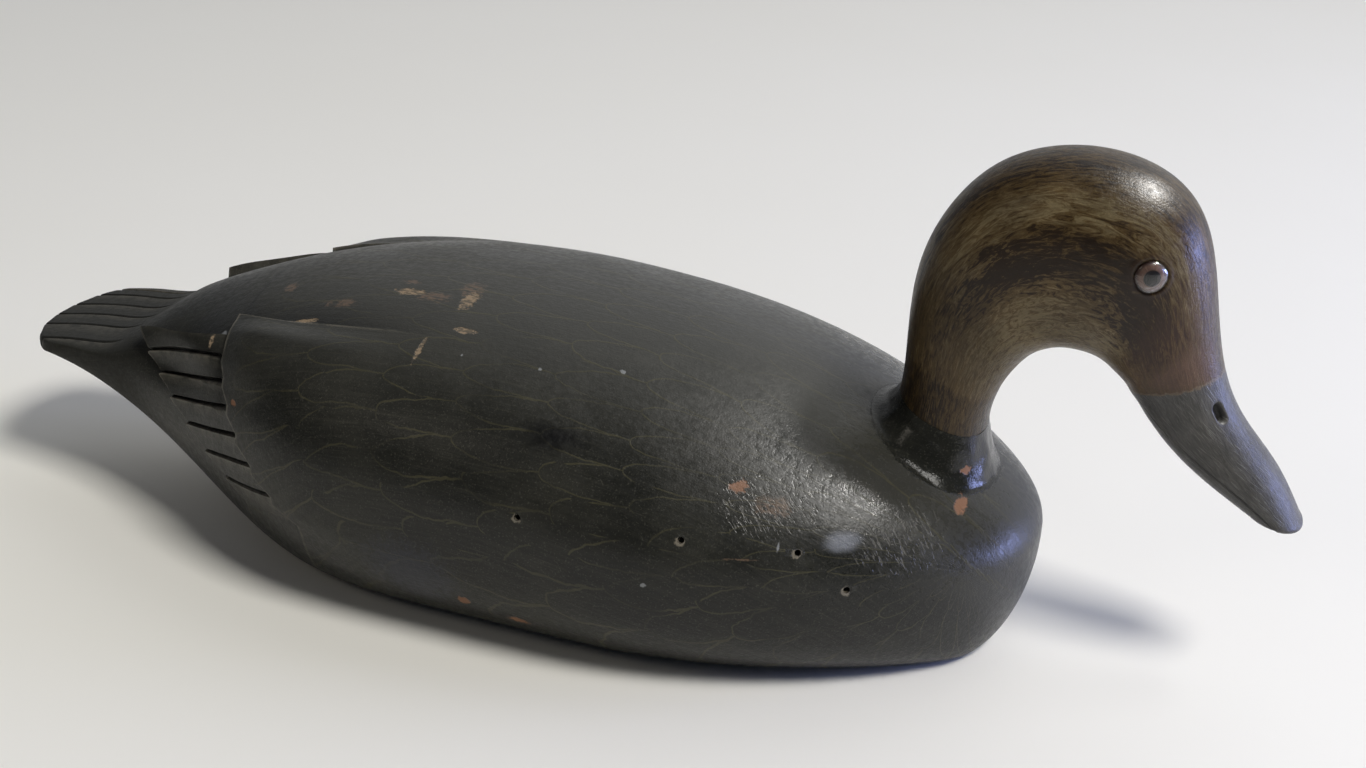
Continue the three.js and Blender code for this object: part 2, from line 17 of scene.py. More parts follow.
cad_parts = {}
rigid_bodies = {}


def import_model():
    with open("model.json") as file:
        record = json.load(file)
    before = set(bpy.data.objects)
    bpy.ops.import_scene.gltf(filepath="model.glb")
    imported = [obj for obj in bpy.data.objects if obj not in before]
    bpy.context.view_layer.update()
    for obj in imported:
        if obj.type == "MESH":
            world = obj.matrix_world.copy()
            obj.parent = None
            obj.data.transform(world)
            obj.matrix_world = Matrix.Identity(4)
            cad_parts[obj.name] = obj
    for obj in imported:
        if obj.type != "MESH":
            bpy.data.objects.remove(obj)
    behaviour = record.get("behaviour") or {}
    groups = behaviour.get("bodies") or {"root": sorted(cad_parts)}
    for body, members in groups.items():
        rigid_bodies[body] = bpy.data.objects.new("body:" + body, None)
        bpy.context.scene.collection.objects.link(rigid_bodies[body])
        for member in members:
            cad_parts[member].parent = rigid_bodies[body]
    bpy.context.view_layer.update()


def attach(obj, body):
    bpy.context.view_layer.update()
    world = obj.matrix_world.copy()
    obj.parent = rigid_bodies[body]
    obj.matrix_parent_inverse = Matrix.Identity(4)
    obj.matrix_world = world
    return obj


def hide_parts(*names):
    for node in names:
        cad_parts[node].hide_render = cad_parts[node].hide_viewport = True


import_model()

# %% [markdown]
# ## Looking at it
# The camera stands where the photograph was taken, a little above the duck and in front of its right
# side. Its matrix could come from a target and an up vector, but two measured directions of the view
# give the tilt as well.

# %% Camera
MM = 0.001
CAMERA_PLACE = Vector((0.21538, -0.56101, 0.36336))
CAMERA_RIGHT = Vector((0.94400, 0.32931, 0.02025))
CAMERA_UP = Vector((-0.16237, 0.41027, 0.89739))
CAMERA_LENS = 48.34


def make_camera():
    camera = bpy.data.objects.new("camera", bpy.data.cameras.new("camera"))
    right = CAMERA_RIGHT.normalized()
    back = right.cross(CAMERA_UP).normalized()
    turn = Matrix((right, back.cross(right), back)).transposed()
    camera.matrix_world = Matrix.Translation(CAMERA_PLACE) @ turn.to_4x4()
    camera.data.lens = CAMERA_LENS
    camera.data.sensor_width = 36
    bpy.context.scene.collection.objects.link(camera)
    bpy.context.scene.camera = camera


make_camera()
print("camera looks from", [round(value, 3) for value in CAMERA_PLACE])

# %% [markdown]
# ## Curves from a carver's pattern
# A carver draws a few sections of the duck and carves smoothly between them. The same can be done with
# a natural spline through each measure of the pattern. NumPy works out all points at once, which is
# much quicker than a loop over a fine mesh.

# %% Smooth curves and small helpers
OVERALL_LENGTH = 484
BODY_LENGTH = 400
TAIL_X = -OVERALL_LENGTH / 2


def natural_spline(places, values):
    places = np.asarray(places, float)
    values = np.asarray(values, float)
    gap = np.diff(places)
    slope = np.diff(values) / gap
    count = len(places)
    system = np.eye(count)
    load = np.zeros(count)
    for i in range(1, count - 1):
        system[i, i - 1:i + 2] = gap[i - 1], 2 * (gap[i - 1] + gap[i]), gap[i]
        load[i] = 6 * (slope[i] - slope[i - 1])
    bend = np.linalg.solve(system, load)

    def curve(place):
        i = np.clip(np.searchsorted(places, place) - 1, 0, count - 2)
        before = place - places[i]
        after = places[i + 1] - place
        cubic = (bend[i] * after ** 3 + bend[i + 1] * before ** 3) / (6 * gap[i])
        low = values[i] / gap[i] - bend[i] * gap[i] / 6
        high = values[i + 1] / gap[i] - bend[i + 1] * gap[i] / 6
        return cubic + low * after + high * before

    return curve


def ease(value):
    part = np.clip(value, 0, 1)
    return part * part * (3 - 2 * part)


def eased(value, start, end):
    """Eases from 0 to 1 while the value goes from start to end."""
    return ease((value - start) / (end - start))


def mix(start, end, part):
    return start + (end - start) * part


def unit(vectors):
    return vectors / np.linalg.norm(vectors, axis=-1, keepdims=True)


def row_place(along, y, z):
    """A place on the duck in metres, from its distance ahead of the tail tip."""
    return Vector((along + TAIL_X, y, z)) * MM


# %% [markdown]
# ## The body's shape
# The body is one block of wood, cut round in section with a flat underside. Each row of the pattern
# is one section, placed by its distance from the tail tip: the heights on the centre line, half the
# width, the height of the widest place, how far the flat underside stays inside, and how square the
# top is. These are the CAD model's own numbers, so the fine body lies on the solid one.

# %% The body's pattern
BODY_PATTERN = [
    dict(along=0, top=56.6, under=52.8, half=26.5, widest=55.6, turn=14, full=5),
    dict(along=30, top=60.8, under=43.2, half=31, widest=57.2, turn=17.5, full=5),
    dict(along=46, top=63.3, under=35, half=33.5, widest=56, turn=19, full=3.8),
    dict(along=62, top=73.4, under=26.5, half=37.5, widest=53.8, turn=20.5, full=2.3),
    dict(along=100, top=90.4, under=6.6, half=52.5, widest=49.5, turn=23, full=2),
    dict(along=150, top=101.5, under=0, half=78, widest=45.5, turn=27, full=2.2),
    dict(along=210, top=104, under=0, half=87.5, widest=45.3, turn=29.5, full=2.3),
    dict(along=270, top=99.6, under=0, half=89, widest=43.4, turn=30, full=2.1),
    dict(along=330, top=90, under=0, half=86, widest=40.7, turn=33, full=2.1),
    dict(along=BODY_LENGTH, top=75.5, under=0, half=78, widest=38.2, turn=34.5, full=2),
]
BREAST_STARTS = 258
KEEL_STARTS = 377.5
NOSE_HEIGHT = 37.8
BREAST_ROUNDNESS = 2.16

body_curve = {
    key: natural_spline([row["along"] for row in BODY_PATTERN], [row[key] for row in BODY_PATTERN])
    for key in ("top", "under", "half", "widest", "turn", "full")
}


def rounded_end(start, along):
    part = np.clip((along - start) / (BODY_LENGTH - start), 0, 1)
    return (1 - part ** BREAST_ROUNDNESS) ** (1 / BREAST_ROUNDNESS)


def body_section(along):
    breast = rounded_end(BREAST_STARTS, along)
    keel = rounded_end(KEEL_STARTS, along)
    top = mix(NOSE_HEIGHT, body_curve["top"](along), breast)
    under = mix(NOSE_HEIGHT, np.maximum(body_curve["under"](along), 0), keel)
    half = body_curve["half"](along) * breast
    widest = mix(NOSE_HEIGHT, body_curve["widest"](along), breast)
    return {
        "top": top,
        "under": under,
        "half": half,
        "widest": np.minimum(widest, top - 0.05 * (top - under)),
        "bottom": np.maximum(half - body_curve["turn"](along) * breast, 0) * keel,
        "full": body_curve["full"](along),
    }


def body_point(along, turn):
    """Turn 0 is the back, 90 the widest place, 180 the underside's edge, and the right side is plus."""
    section = body_section(along)
    side = np.where(turn < 0, 1, -1)
    sine = np.sin(np.radians(np.abs(turn)))
    cosine = np.cos(np.radians(turn))
    full = section["full"]
    reach = (np.abs(sine) ** full + np.abs(cosine) ** full) ** (1 / full)
    above = np.abs(turn) <= 90
    rise = np.where(above, section["top"] - section["widest"], section["widest"] - section["under"])
    lower_y = section["bottom"] + (section["half"] - section["bottom"]) * sine
    y = side * np.where(above, section["half"] * sine / reach, lower_y)
    z = section["widest"] + rise * cosine / np.where(above, reach, 1)
    return np.stack(np.broadcast_arrays(along, y, z), -1)


def body_normal(along, turn):
    step = 0.3
    back = np.maximum(along - step, 0)
    ahead = np.minimum(along + step, BODY_LENGTH)
    forward = body_point(ahead, turn) - body_point(back, turn)
    around = body_point(along, turn + step) - body_point(along, turn - step)
    return unit(np.cross(around, forward))


def turn_at(along, to_right):
    """The turn of the upper surface's place at a distance to the right of the centre line."""
    section = body_section(along)
    share = np.minimum(np.abs(to_right) / section["half"], 0.999)
    slope = share / (1 - share ** section["full"]) ** (1 / section["full"])
    return np.sign(to_right) * np.degrees(np.arctan(slope))


def back_height(along, y):
    section = body_section(along)
    part = 1 - np.clip(np.abs(y) / section["half"], 0, 1) ** section["full"]
    return section["widest"] + (section["top"] - section["widest"]) * part ** (1 / section["full"])


print("widest place in mm:", round(2 * float(body_section(262)["half"])))

# %% [markdown]
# ## Where the feathers lie
# The carver cut the wings in two steps, flight feathers below and coverts over them, and ran a knife
# along every feather. Steps that steep need mesh edges on both sides of them, so the net of the body
# follows the feathers. Each key line says where it passes the tail, the ends of the flight feathers,
# the coverts' edge and the front.

# %% Wing measures
FEATHERS = 7
TIP_STEP = 3.9
WING_ARCH = 6
WING_BOW = 4.5
COVERT_EDGE_STEP = 3
COVERT_STEP = 4.5
COVERT_CROWN = 6
COVERT_SIDE_STEP = 2.9
SIDE_SHARE = 0.4
INNER_COVERT_TURN = 34.6
INNER_FADE_TURN = 30.4
WING_START = 60
COVERT_START = 109
INNER_PLACE = 22
GROOVE = dict(depth=1.5, low_depth=2.1, low_from=4, edge=0.5, lip=2, notch=1.4)
TAIL_GROOVE = dict(first=-12, pitch=10.3, count=4, border=25.4, depth=1.1, half=0.9, ends=50, fade=10)
FAN_ROUND = 18
EDGE_ROUND = 1.6
WALL = 0.35
WALL_TURN = 0.3

# How a place moves on from one feather slip to the next: its start, its step and how the step grows.
SLIP_PLACES = dict(
    tip_along=(63, 5.1, 0.45), tip_turn=(45.5, 14.2, -0.55),
    covert_along=(110.5, 0, 0.86), covert_turn=(43.5, 9, 0),
)


def slip_place(name, slip):
    start, step, growth = SLIP_PLACES[name]
    return start + step * slip + growth * slip ** 2


def wing_places(slip):
    """Where a slip's feather ends, and where the coverts' edge lies over it, as along and turn."""
    tip = (slip_place("tip_along", slip), slip_place("tip_turn", slip))
    covert = (slip_place("covert_along", slip), slip_place("covert_turn", slip))
    return tip, covert


def covert_inner_turn(along):
    return mix(INNER_COVERT_TURN, INNER_FADE_TURN, np.clip((along - 108) / 68, 0, 1))


def flight_lift(along, turn):
    """The flight feathers arch up beside the hollow rump and thin out down the side."""
    fade = np.clip((112 - along) / 52, 0, 1) ** 0.6
    arch = WING_ARCH * np.sin(math.pi * np.clip((along - 56) / 58, 0, 1))
    side = eased(turn, 46, 70)
    lift = TIP_STEP * fade * mix(1, SIDE_SHARE, side) + arch * (1 - side) + 0.2
    return lift * (1 - eased(turn, 102, 118))


def covert_lift(along, turn):
    """The coverts start as a low step at their inner edge and swell to their full height beside it."""
    edge = COVERT_EDGE_STEP * (1 - eased(along, 106, 144))
    crown = mix(COVERT_STEP, COVERT_CROWN, eased(along, 109, 125))
    full = mix(crown, COVERT_SIDE_STEP, eased(turn, 45, 67)) * (1 - eased(along, 108, 198))
    swell = ease((turn - covert_inner_turn(along)) / 10)
    return mix(edge, full, swell) * (1 - eased(turn, 100, 114))


# %% Key lines of the net
# Lines beside a groove, in half widths from its bottom, and how much paint is rubbed off on each.
# Less than 0 means painted shade in the crease beside the step.
LIP_WEAR_AND_SHADE = {-1.4: -0.5, -1: -0.8, 0: 0, 1: 1, 1.5: 0.5}
INNER_EDGE_WEAR_AND_SHADE = {-2: -0.6, -1: -1, 1: 1, 3: 0}
TAIL_WEAR_AND_SHADE = 0.7
BORDER_WEAR_AND_SHADE = 0.4
WING_SPREAD = 4
FRONT_SPREAD = 3.1
MIDDLE_SHARE = 0.93
BELLY_LINES = 8
PLAIN_LINE = dict(tail_cut=0, flight_cut=0, flight=0, coverts=0, tail_rub=0, flight_rub=0, front_rub=0, bow=0)


def key_line(**extra):
    return {**PLAIN_LINE, **extra}


def top_line(to_right, share, **extra):
    return key_line(
        tail=lambda along: turn_at(along, to_right),
        tip=(WING_START, float(turn_at(WING_START, to_right))),
        covert=(COVERT_START, share * INNER_COVERT_TURN),
        front=lambda along: share * covert_inner_turn(along),
        **extra,
    )


def wing_line(side, slip, spread=0, offset=0, notch=0, **extra):
    (tip_along, tip_turn), (covert_along, covert_turn) = wing_places(slip)
    tail_turn = side * (tip_turn + WING_SPREAD * spread)
    border = side * (TAIL_GROOVE["border"] + TAIL_GROOVE["half"] * spread)
    return key_line(
        tail=(lambda along: turn_at(along, border)) if slip == 0 else (lambda along: tail_turn + 0 * along),
        tip=(tip_along + notch, side * (tip_turn + offset)),
        covert=(covert_along, side * (covert_turn + offset)),
        front=lambda along: side * (covert_turn + FRONT_SPREAD * spread) + 0 * along,
        coverts=1,
        bow=side * WING_BOW * (slip == 0),
        **extra,
    )


def belly_line(side, part):
    (tip_along, tip_turn), (covert_along, covert_turn) = wing_places(FEATHERS)
    tail_turn = side * mix(tip_turn, 180, part)
    front_turn = side * mix(covert_turn, 180, part)
    return key_line(
        tail=lambda along: tail_turn + 0 * along,
        tip=(tip_along, tail_turn),
        covert=(covert_along, front_turn),
        front=lambda along: front_turn + 0 * along,
        flight=1,
        coverts=1,
    )


def inner_edge_line(side, step, rub):
    """A line beside the coverts' inner edge: step -1 lies on the back, and 1 or more on the coverts."""
    line = top_line(side * (INNER_PLACE + WALL_TURN * step), side, coverts=int(step > 0), front_rub=rub)
    along, turn = line["covert"]
    line["covert"] = (along, turn + side * step * WALL_TURN)
    line["front"] = lambda along: side * (covert_inner_turn(along) + step * WALL_TURN)
    return line


def side_lines(side):
    """One side's lines, from the coverts' inner edge down to the edge of the underside."""
    lines = [inner_edge_line(side, step, rub) for step, rub in INNER_EDGE_WEAR_AND_SHADE.items()]
    for step, rub in LIP_WEAR_AND_SHADE.items():
        lines.append(wing_line(
            side, 0, spread=step, offset=step * WALL_TURN, flight=int(step > 0),
            tail_cut=TAIL_GROOVE["depth"] * (step == 0), tail_rub=TAIL_WEAR_AND_SHADE * rub, flight_rub=BORDER_WEAR_AND_SHADE * rub,
        ))
    for slip in range(1, FEATHERS):
        depth = GROOVE["low_depth" if slip >= GROOVE["low_from"] else "depth"]
        for step, rub in LIP_WEAR_AND_SHADE.items():
            lines.append(wing_line(
                side, slip, spread=step, offset=step * GROOVE["lip" if step > 0 else "edge"], flight=1,
                notch=GROOVE["notch"] * (step == 0), flight_cut=depth * (step == 0), flight_rub=rub,
            ))
    return lines + [belly_line(side, part) for part in np.linspace(0, 1, BELLY_LINES)]


def middle_lines():
    """The lines between the wings, with one in the bottom of each tail groove."""
    half, pitch = TAIL_GROOVE["half"], TAIL_GROOVE["pitch"]
    lines = []
    for i in reversed(range(TAIL_GROOVE["count"])):
        to_right = -(TAIL_GROOVE["first"] + pitch * i)
        for step, rub in LIP_WEAR_AND_SHADE.items():
            share = MIDDLE_SHARE * np.clip((to_right + step * pitch / 4) / INNER_PLACE, -1, 1)
            lines.append(top_line(
                to_right + step * half, share,
                tail_cut=TAIL_GROOVE["depth"] * (step == 0), tail_rub=TAIL_WEAR_AND_SHADE * rub,
            ))
    return lines


key_lines = side_lines(-1)[::-1] + middle_lines() + side_lines(1)
print("key lines over the body:", len(key_lines))

# %% [markdown]
# ## A net over the body
# Columns cross the key lines in three stretches: the tail, the flight feathers, and the coverts with
# the front. They come closest where the carving is steep. The measures of neighbouring key lines are
# mixed for the lines between them, so the whole net is a few array sums and needs no sculpting.

# %% Columns and the lines between the key lines
NOSE_BEND = 0.64
FOOT_SHADE = 0.8
LINE_SPACE = 1.8
MOST_PIECES = 14
EDGE_ANGLES = (15, 35, 55, 75, 90)
TAIL_COLUMNS = 52
FLIGHT_COLUMNS = 46
FRONT_COLUMNS = 92
NOSE_COLUMNS = 56
STEP_FOOT = 2.5


def net_columns():
    """Each column is a stretch, a part of the way through it, a distance added, and its thickness."""
    columns = []
    for angle in np.radians(EDGE_ANGLES):
        columns.append(("tail", 0, -EDGE_ROUND * math.cos(angle), math.sin(angle)))
    columns += [("tail", part, 0, 1) for part in np.linspace(0, 0.985, TAIL_COLUMNS)[1:]]
    columns += [("tail", 1, -0.5, 1), ("tail", 1, 0, 1), ("flight", 0, 0, 1), ("flight", 0, 0.5, 1)]
    columns += [("flight", part, 0, 1) for part in np.linspace(0.02, 0.98, FLIGHT_COLUMNS)]
    columns += [("flight", 1, -0.5, 1), ("flight", 1, 0, 1)]
    columns += [("front", 0, added, 1) for added in (0, 0.5, 1.2)]
    columns += [("front", part, 0, 1) for part in np.linspace(0.01, NOSE_BEND, FRONT_COLUMNS)]
    closing = 1 - (1 - np.linspace(0, 1, NOSE_COLUMNS + 2)[1:-1]) ** 2
    columns += [("front", mix(NOSE_BEND, 1, part), 0, 1) for part in closing]
    return columns


def tail_start(line):
    """Where a line starts on the tail's rounded edge."""
    along = np.array(0.0)
    for _ in range(12):
        y = body_point(along, line["tail"](along))[1]
        share = min(abs(y) / body_section(along)["half"], 1)
        along = FAN_ROUND * (1 - math.sqrt(1 - share ** 2)) + 0 * along
    return float(along)


def foot_shade(along, step_along):
    """Painted shade at the foot of a step, just behind it."""
    return FOOT_SHADE * ease((along - step_along + STEP_FOOT) / STEP_FOOT)


def line_measures(line, columns):
    """A line's measures in every column: along, turn, cut, flight, coverts, and wear that is painted shade
    below 0.
    """
    start = tail_start(line)
    (tip_along, tip_turn), (covert_along, covert_turn) = line["tip"], line["covert"]
    rows = []
    for stretch, part, added, _ in columns:
        if stretch == "tail":
            along = mix(start + EDGE_ROUND, tip_along - WALL, part) + added
            turn = mix(line["tail"](along), tip_turn, eased(part, 0.7, 1))
            fade = np.clip((TAIL_GROOVE["ends"] - along) / TAIL_GROOVE["fade"], 0, 1)
            rub = line["tail_rub"] * fade - line["flight"] * foot_shade(along, tip_along)
            rows.append((along, turn, line["tail_cut"] * fade, 0, 0, rub))
        elif stretch == "flight":
            along = mix(tip_along + WALL, covert_along - WALL, part) + added
            turn = mix(tip_turn, covert_turn, part) + line["bow"] * math.sin(math.pi * part)
            end_rub = line["flight"] * (1 - ease((along - tip_along - 0.5) / 0.7))
            rub = line["flight_rub"] + end_rub - foot_shade(along, covert_along)
            rows.append((along, turn, line["flight_cut"], line["flight"], 0, rub))
        else:
            along = mix(covert_along + WALL, BODY_LENGTH, part) + added
            turn = mix(covert_turn, line["front"](along), ease(8 * part))
            end_rub = line["coverts"] * (1 - ease((along - covert_along - 0.7) / 0.9))
            inner_wear_and_shade = line["front_rub"] * (1 - ease((along - 150) / 50))
            rows.append((along, turn, 0, 0, line["coverts"], end_rub + inner_wear_and_shade))
    return np.array(rows, float)


def fill_between(values, target):
    """Adds lines between the key lines, so that no two lie further apart than the target in mm."""
    points = body_point(values[..., 0], values[..., 1])
    apart = np.linalg.norm(np.diff(points, axis=1), axis=-1)
    widest = apart[::6].max(0)
    pieces = np.clip(np.ceil(widest / target), 1, MOST_PIECES).astype(int)
    places = np.concatenate([i + np.arange(n) / n for i, n in enumerate(pieces)] + [[len(pieces)]])
    first = np.minimum(places.astype(int), len(pieces) - 1)
    part = (places - first)[None, :, None]
    return mix(values[:, first], values[:, first + 1], part)


columns = net_columns()
values = np.stack([line_measures(line, columns) for line in key_lines], 1)
values = fill_between(values, LINE_SPACE)
print("columns and lines of the net:", values.shape[:2])

# %% [markdown]
# ## Raising the wings
# The lifts are added to the smooth body along its own outward direction. The grooves aren't cut here:
# each point only remembers how deep a groove is at that point, for the node tree that follows.

# %% Points of the net
def net_points(values, columns):
    along, turn, cut, flight, coverts, rub = np.moveaxis(values, -1, 0)
    size = np.abs(turn)
    lift = flight_lift(along, size) * ease(flight) + covert_lift(along, size) * ease(coverts)
    outward = body_normal(along, turn)
    points = body_point(along, turn) + outward * lift[..., None]
    section = body_section(along)
    squeeze = np.array([column[3] for column in columns])[:, None]
    points[..., 2] = mix((section["top"] + section["under"]) / 2, points[..., 2], squeeze)
    return points, outward


def around_the_back(points):
    """Each point's distance in mm round the body from the middle of the back, plus on the right."""
    steps = np.linalg.norm(np.diff(points, axis=1), axis=-1)
    distance = np.concatenate([np.zeros((len(points), 1)), np.cumsum(steps, axis=1)], axis=1)
    middle = np.argmin(np.abs(points[..., 1]) + 1e3 * (points[..., 2] < NOSE_HEIGHT), axis=1)
    return distance - distance[np.arange(len(points)), middle][:, None]


points, outward = net_points(values, columns)
round_back = around_the_back(points)
print("net points:", points.shape[0] * points.shape[1])

# %% [markdown]
# ## From points to a mesh
# A mesh needs its points, its faces and, for the paint, some measures kept at every point. Faces
# between rings are the same sum for the body, the head and the collar, so one helper makes them all.

# %% Mesh helpers
def ring_faces(rings, count):
    here = np.arange(rings - 1)[:, None] * count + np.arange(count)
    onward = np.arange(rings - 1)[:, None] * count + (np.arange(count) + 1) % count
    return np.stack([here, onward, onward + count, here + count], -1).reshape(-1, 4).tolist()


def cap_faces(start, count, apex):
    return [(start + i, start + (i + 1) % count, apex) for i in range(count)]


def tube_faces(rings, count):
    """Faces of rings closed by a point at each end. The two points come after those of the rings."""
    last = rings * count
    return ring_faces(rings, count) + cap_faces(0, count, last) + cap_faces(last - count, count, last + 1)


def keep_measures(mesh, **measures):
    for name, values in measures.items():
        values = np.asarray(values, np.float32)
        kind, field = ("FLOAT_VECTOR", "vector") if values.ndim == 2 else ("FLOAT", "value")
        layer = mesh.attributes.new(name, kind, "POINT")
        layer.data.foreach_set(field, values.ravel())


def closed_piece(name, points, faces, **measures):
    """A smooth closed piece from points in mm, with its faces turned outwards."""
    places = (np.asarray(points, float) + (TAIL_X, 0, 0)) * MM
    mesh = bpy.data.meshes.new(name)
    mesh.from_pydata(places.tolist(), [], faces)
    keep_measures(mesh, **measures)
    shape = bmesh.new()
    shape.from_mesh(mesh)
    bmesh.ops.recalc_face_normals(shape, faces=shape.faces)
    shape.to_mesh(mesh)
    shape.free()
    mesh.polygons.foreach_set("use_smooth", [True] * len(mesh.polygons))
    piece = bpy.data.objects.new(name, mesh)
    bpy.context.scene.collection.objects.link(piece)
    return piece


def triangles(piece):
    return sum(len(face.vertices) - 2 for face in piece.data.polygons)


# %% [markdown]
# ## Closing the tail and the underside
# The net is open along the tail's blunt edge and across the underside. The underside is bridged by
# straight lines. Along the edge a walk from one corner to the other joins the upper border to the
# lower one, always stepping on where the next point lies nearer.

# %% The body's mesh
UNDERSIDE_LINES = 12
FAN_CENTRE = (382, 48)
FAN_REACH = 120


def tail_edge_faces(ring):
    """Triangles between the upper and the lower border of the tail's edge."""
    count = len(ring)
    left = int(np.argmax(ring[:, 1]))
    right = int(np.argmin(ring[:, 1]))
    upper = list(range(left, right + 1))
    lower = [i for i in range(left, -1, -1)] + [i for i in range(count - 1, right - 1, -1)]
    faces = []
    over = below = 0
    while over < len(upper) - 1 or below < len(lower) - 1:
        next_over = ring[upper[over + 1], 1] if over < len(upper) - 1 else -np.inf
        next_below = ring[lower[below + 1], 1] if below < len(lower) - 1 else -np.inf
        if next_over >= next_below:
            face = (upper[over + 1], upper[over], lower[below])
            over += 1
        else:
            face = (lower[below], lower[below + 1], upper[over])
            below += 1
        if len(set(face)) == 3:
            faces.append(face)
    return faces


def across_underside(grid):
    """The same grid with lines added from the last line to the first, under the body."""
    parts = np.linspace(0, 1, UNDERSIDE_LINES + 2)[1:-1]
    parts = parts.reshape((1, -1) + (1,) * (grid.ndim - 2))
    return np.concatenate([grid, mix(grid[:, -1:], grid[:, :1], parts)], axis=1)


def feather_lay(along, round_back):
    """The lay of the drawn feathers: along the back, and fanning out from the neck's foot below it."""
    ahead = FAN_CENTRE[0] - along
    down = np.abs(round_back) - FAN_CENTRE[1]
    below = np.maximum(down, 0)
    fan = FAN_REACH * np.arctan2(below, FAN_REACH * np.tanh(ahead / FAN_REACH))
    across = np.where(down > 0, fan, down) + FAN_CENTRE[1]
    onward = FAN_CENTRE[0] - np.hypot(ahead, below)
    return np.stack([onward, np.sign(round_back) * across, 0 * along], -1)


def make_body():
    grid = across_underside(points)
    normals = across_underside(outward)
    plain_lay = across_underside(np.stack([values[..., 0], round_back], -1))
    drawn_lay = across_underside(feather_lay(values[..., 0], round_back))
    measures = across_underside(values)
    rings, count = grid.shape[:2]
    nose = rings * count
    all_points = np.vstack([grid.reshape(-1, 3), (BODY_LENGTH, 0, NOSE_HEIGHT)])
    faces = ring_faces(rings, count) + tail_edge_faces(grid[0]) + cap_faces(nose - count, count, nose)

    def listed(layer, last):
        return np.vstack([layer.reshape(nose, -1), last])

    place = listed(plain_lay, (BODY_LENGTH, 0))
    return closed_piece(
        "carved_body", all_points, faces,
        outward=listed(normals, (1, 0, 0)),
        lay=np.column_stack([place, np.ones(nose + 1)]),
        feather_lay=listed(drawn_lay, (BODY_LENGTH, 0, 0)),
        cut=listed(measures[..., 2], 0).ravel(),
        rub=listed(measures[..., 5], 0).ravel(),
    )


body = make_body()
print("body triangles before cutting:", triangles(body))

# %% [markdown]
# ## Cutting the feather grooves
# The grooves repeat all over the wings and the tail, and a knife never cuts quite evenly. A Geometry
# Nodes tree sinks each point by the depth that it remembers, with a little noise, and its inputs say
# how deep and how uneven. The result is turned into a plain mesh, because the model is handed on
# without modifiers.

# %% Node helpers
def link(tree, source, target):
    """Links a socket to the target, or sets the target to a plain value."""
    if isinstance(source, bpy.types.NodeSocket):
        tree.links.new(source, target)
    else:
        target.default_value = source


def add_node(tree, kind, inputs=None, **settings):
    """A new node with its settings, and with each input linked or set."""
    node = tree.nodes.new(kind)
    for name, value in settings.items():
        setattr(node, name, value)
    for name, value in (inputs or {}).items():
        link(tree, value, node.inputs[name])
    return node


def sum_of(tree, operation, *terms):
    """The output of a Math node."""
    return add_node(tree, "ShaderNodeMath", dict(enumerate(terms)), operation=operation).outputs[0]


def chained(tree, operation, terms, clamp):
    """One sum over all terms, two at a time. Clamp holds the last result between 0 and 1."""
    total = terms[0]
    for term in terms[1:]:
        total = sum_of(tree, operation, total, term)
    total.node.use_clamp = clamp
    return total


def times(tree, *terms, clamp=False):
    return chained(tree, "MULTIPLY", terms, clamp)


def plus(tree, *terms, clamp=False):
    return chained(tree, "ADD", terms, clamp)


def minus(tree, *terms, clamp=False):
    return chained(tree, "SUBTRACT", terms, clamp)


def parts_of(tree, vector):
    return add_node(tree, "ShaderNodeSeparateXYZ", {0: vector}).outputs


def vector_sum(tree, operation, *terms):
    """The output of a Vector Math node. A scale factor goes into its fourth input."""
    places = (0, 3) if operation == "SCALE" else range(len(terms))
    node = add_node(tree, "ShaderNodeVectorMath", dict(zip(places, terms)), operation=operation)
    return node.outputs["Value" if operation == "LENGTH" else "Vector"]


def group_sockets(tree, inputs, outputs):
    """Named inputs and outputs of a node group, each with its socket type and value."""
    made = {}
    for name, (kind, value) in inputs.items():
        made[name] = tree.interface.new_socket(name, in_out="INPUT", socket_type="NodeSocket" + kind)
        if value is not None:
            made[name].default_value = value
    for name, kind in outputs.items():
        tree.interface.new_socket(name, in_out="OUTPUT", socket_type="NodeSocket" + kind)
    return made


# %% The groove tree
GROOVE_SETTINGS = {"Depth": 1.0, "Unevenness": 0.3, "Seed": 4.0}
WOBBLE_SCALE = 160.0


def groove_tree():
    tree = bpy.data.node_groups.new("cut_grooves", "GeometryNodeTree")
    inputs = {name: ("Float", value) for name, value in GROOVE_SETTINGS.items()}
    inputs = {"Geometry": ("Geometry", None), **inputs, "Material": ("Material", None)}
    sockets = group_sockets(tree, inputs, {"Geometry": "Geometry"})
    start = add_node(tree, "NodeGroupInput").outputs
    cut = add_node(tree, "GeometryNodeInputNamedAttribute", {"Name": "cut"}, data_type="FLOAT")
    way = add_node(tree, "GeometryNodeInputNamedAttribute", {"Name": "outward"}, data_type="FLOAT_VECTOR")
    wobble = add_node(
        tree, "ShaderNodeTexNoise",
        {"Scale": WOBBLE_SCALE, "Detail": 1.0, "W": start["Seed"]}, noise_dimensions="4D",
    )
    uneven = times(tree, minus(tree, wobble.outputs[0], 0.5), start["Unevenness"], 2.0)
    depth = times(tree, cut.outputs[0], plus(tree, uneven, 1.0), start["Depth"], -MM)
    offset = vector_sum(tree, "SCALE", way.outputs[0], depth)
    moved = add_node(tree, "GeometryNodeSetPosition", {"Geometry": start["Geometry"], "Offset": offset})
    whole = add_node(tree, "GeometryNodeRealizeInstances", {"Geometry": moved.outputs[0]})
    painted = add_node(
        tree, "GeometryNodeSetMaterial",
        {"Geometry": whole.outputs[0], "Material": start["Material"]},
    )
    link(tree, painted.outputs[0], add_node(tree, "NodeGroupOutput").inputs[0])
    return tree, {name: socket.identifier for name, socket in sockets.items()}


def make_plain(piece):
    """Turns what the modifiers make of a piece into its own mesh."""
    graph = bpy.context.evaluated_depsgraph_get()
    mesh = bpy.data.meshes.new_from_object(piece.evaluated_get(graph))
    piece.modifiers.clear()
    piece.data = mesh


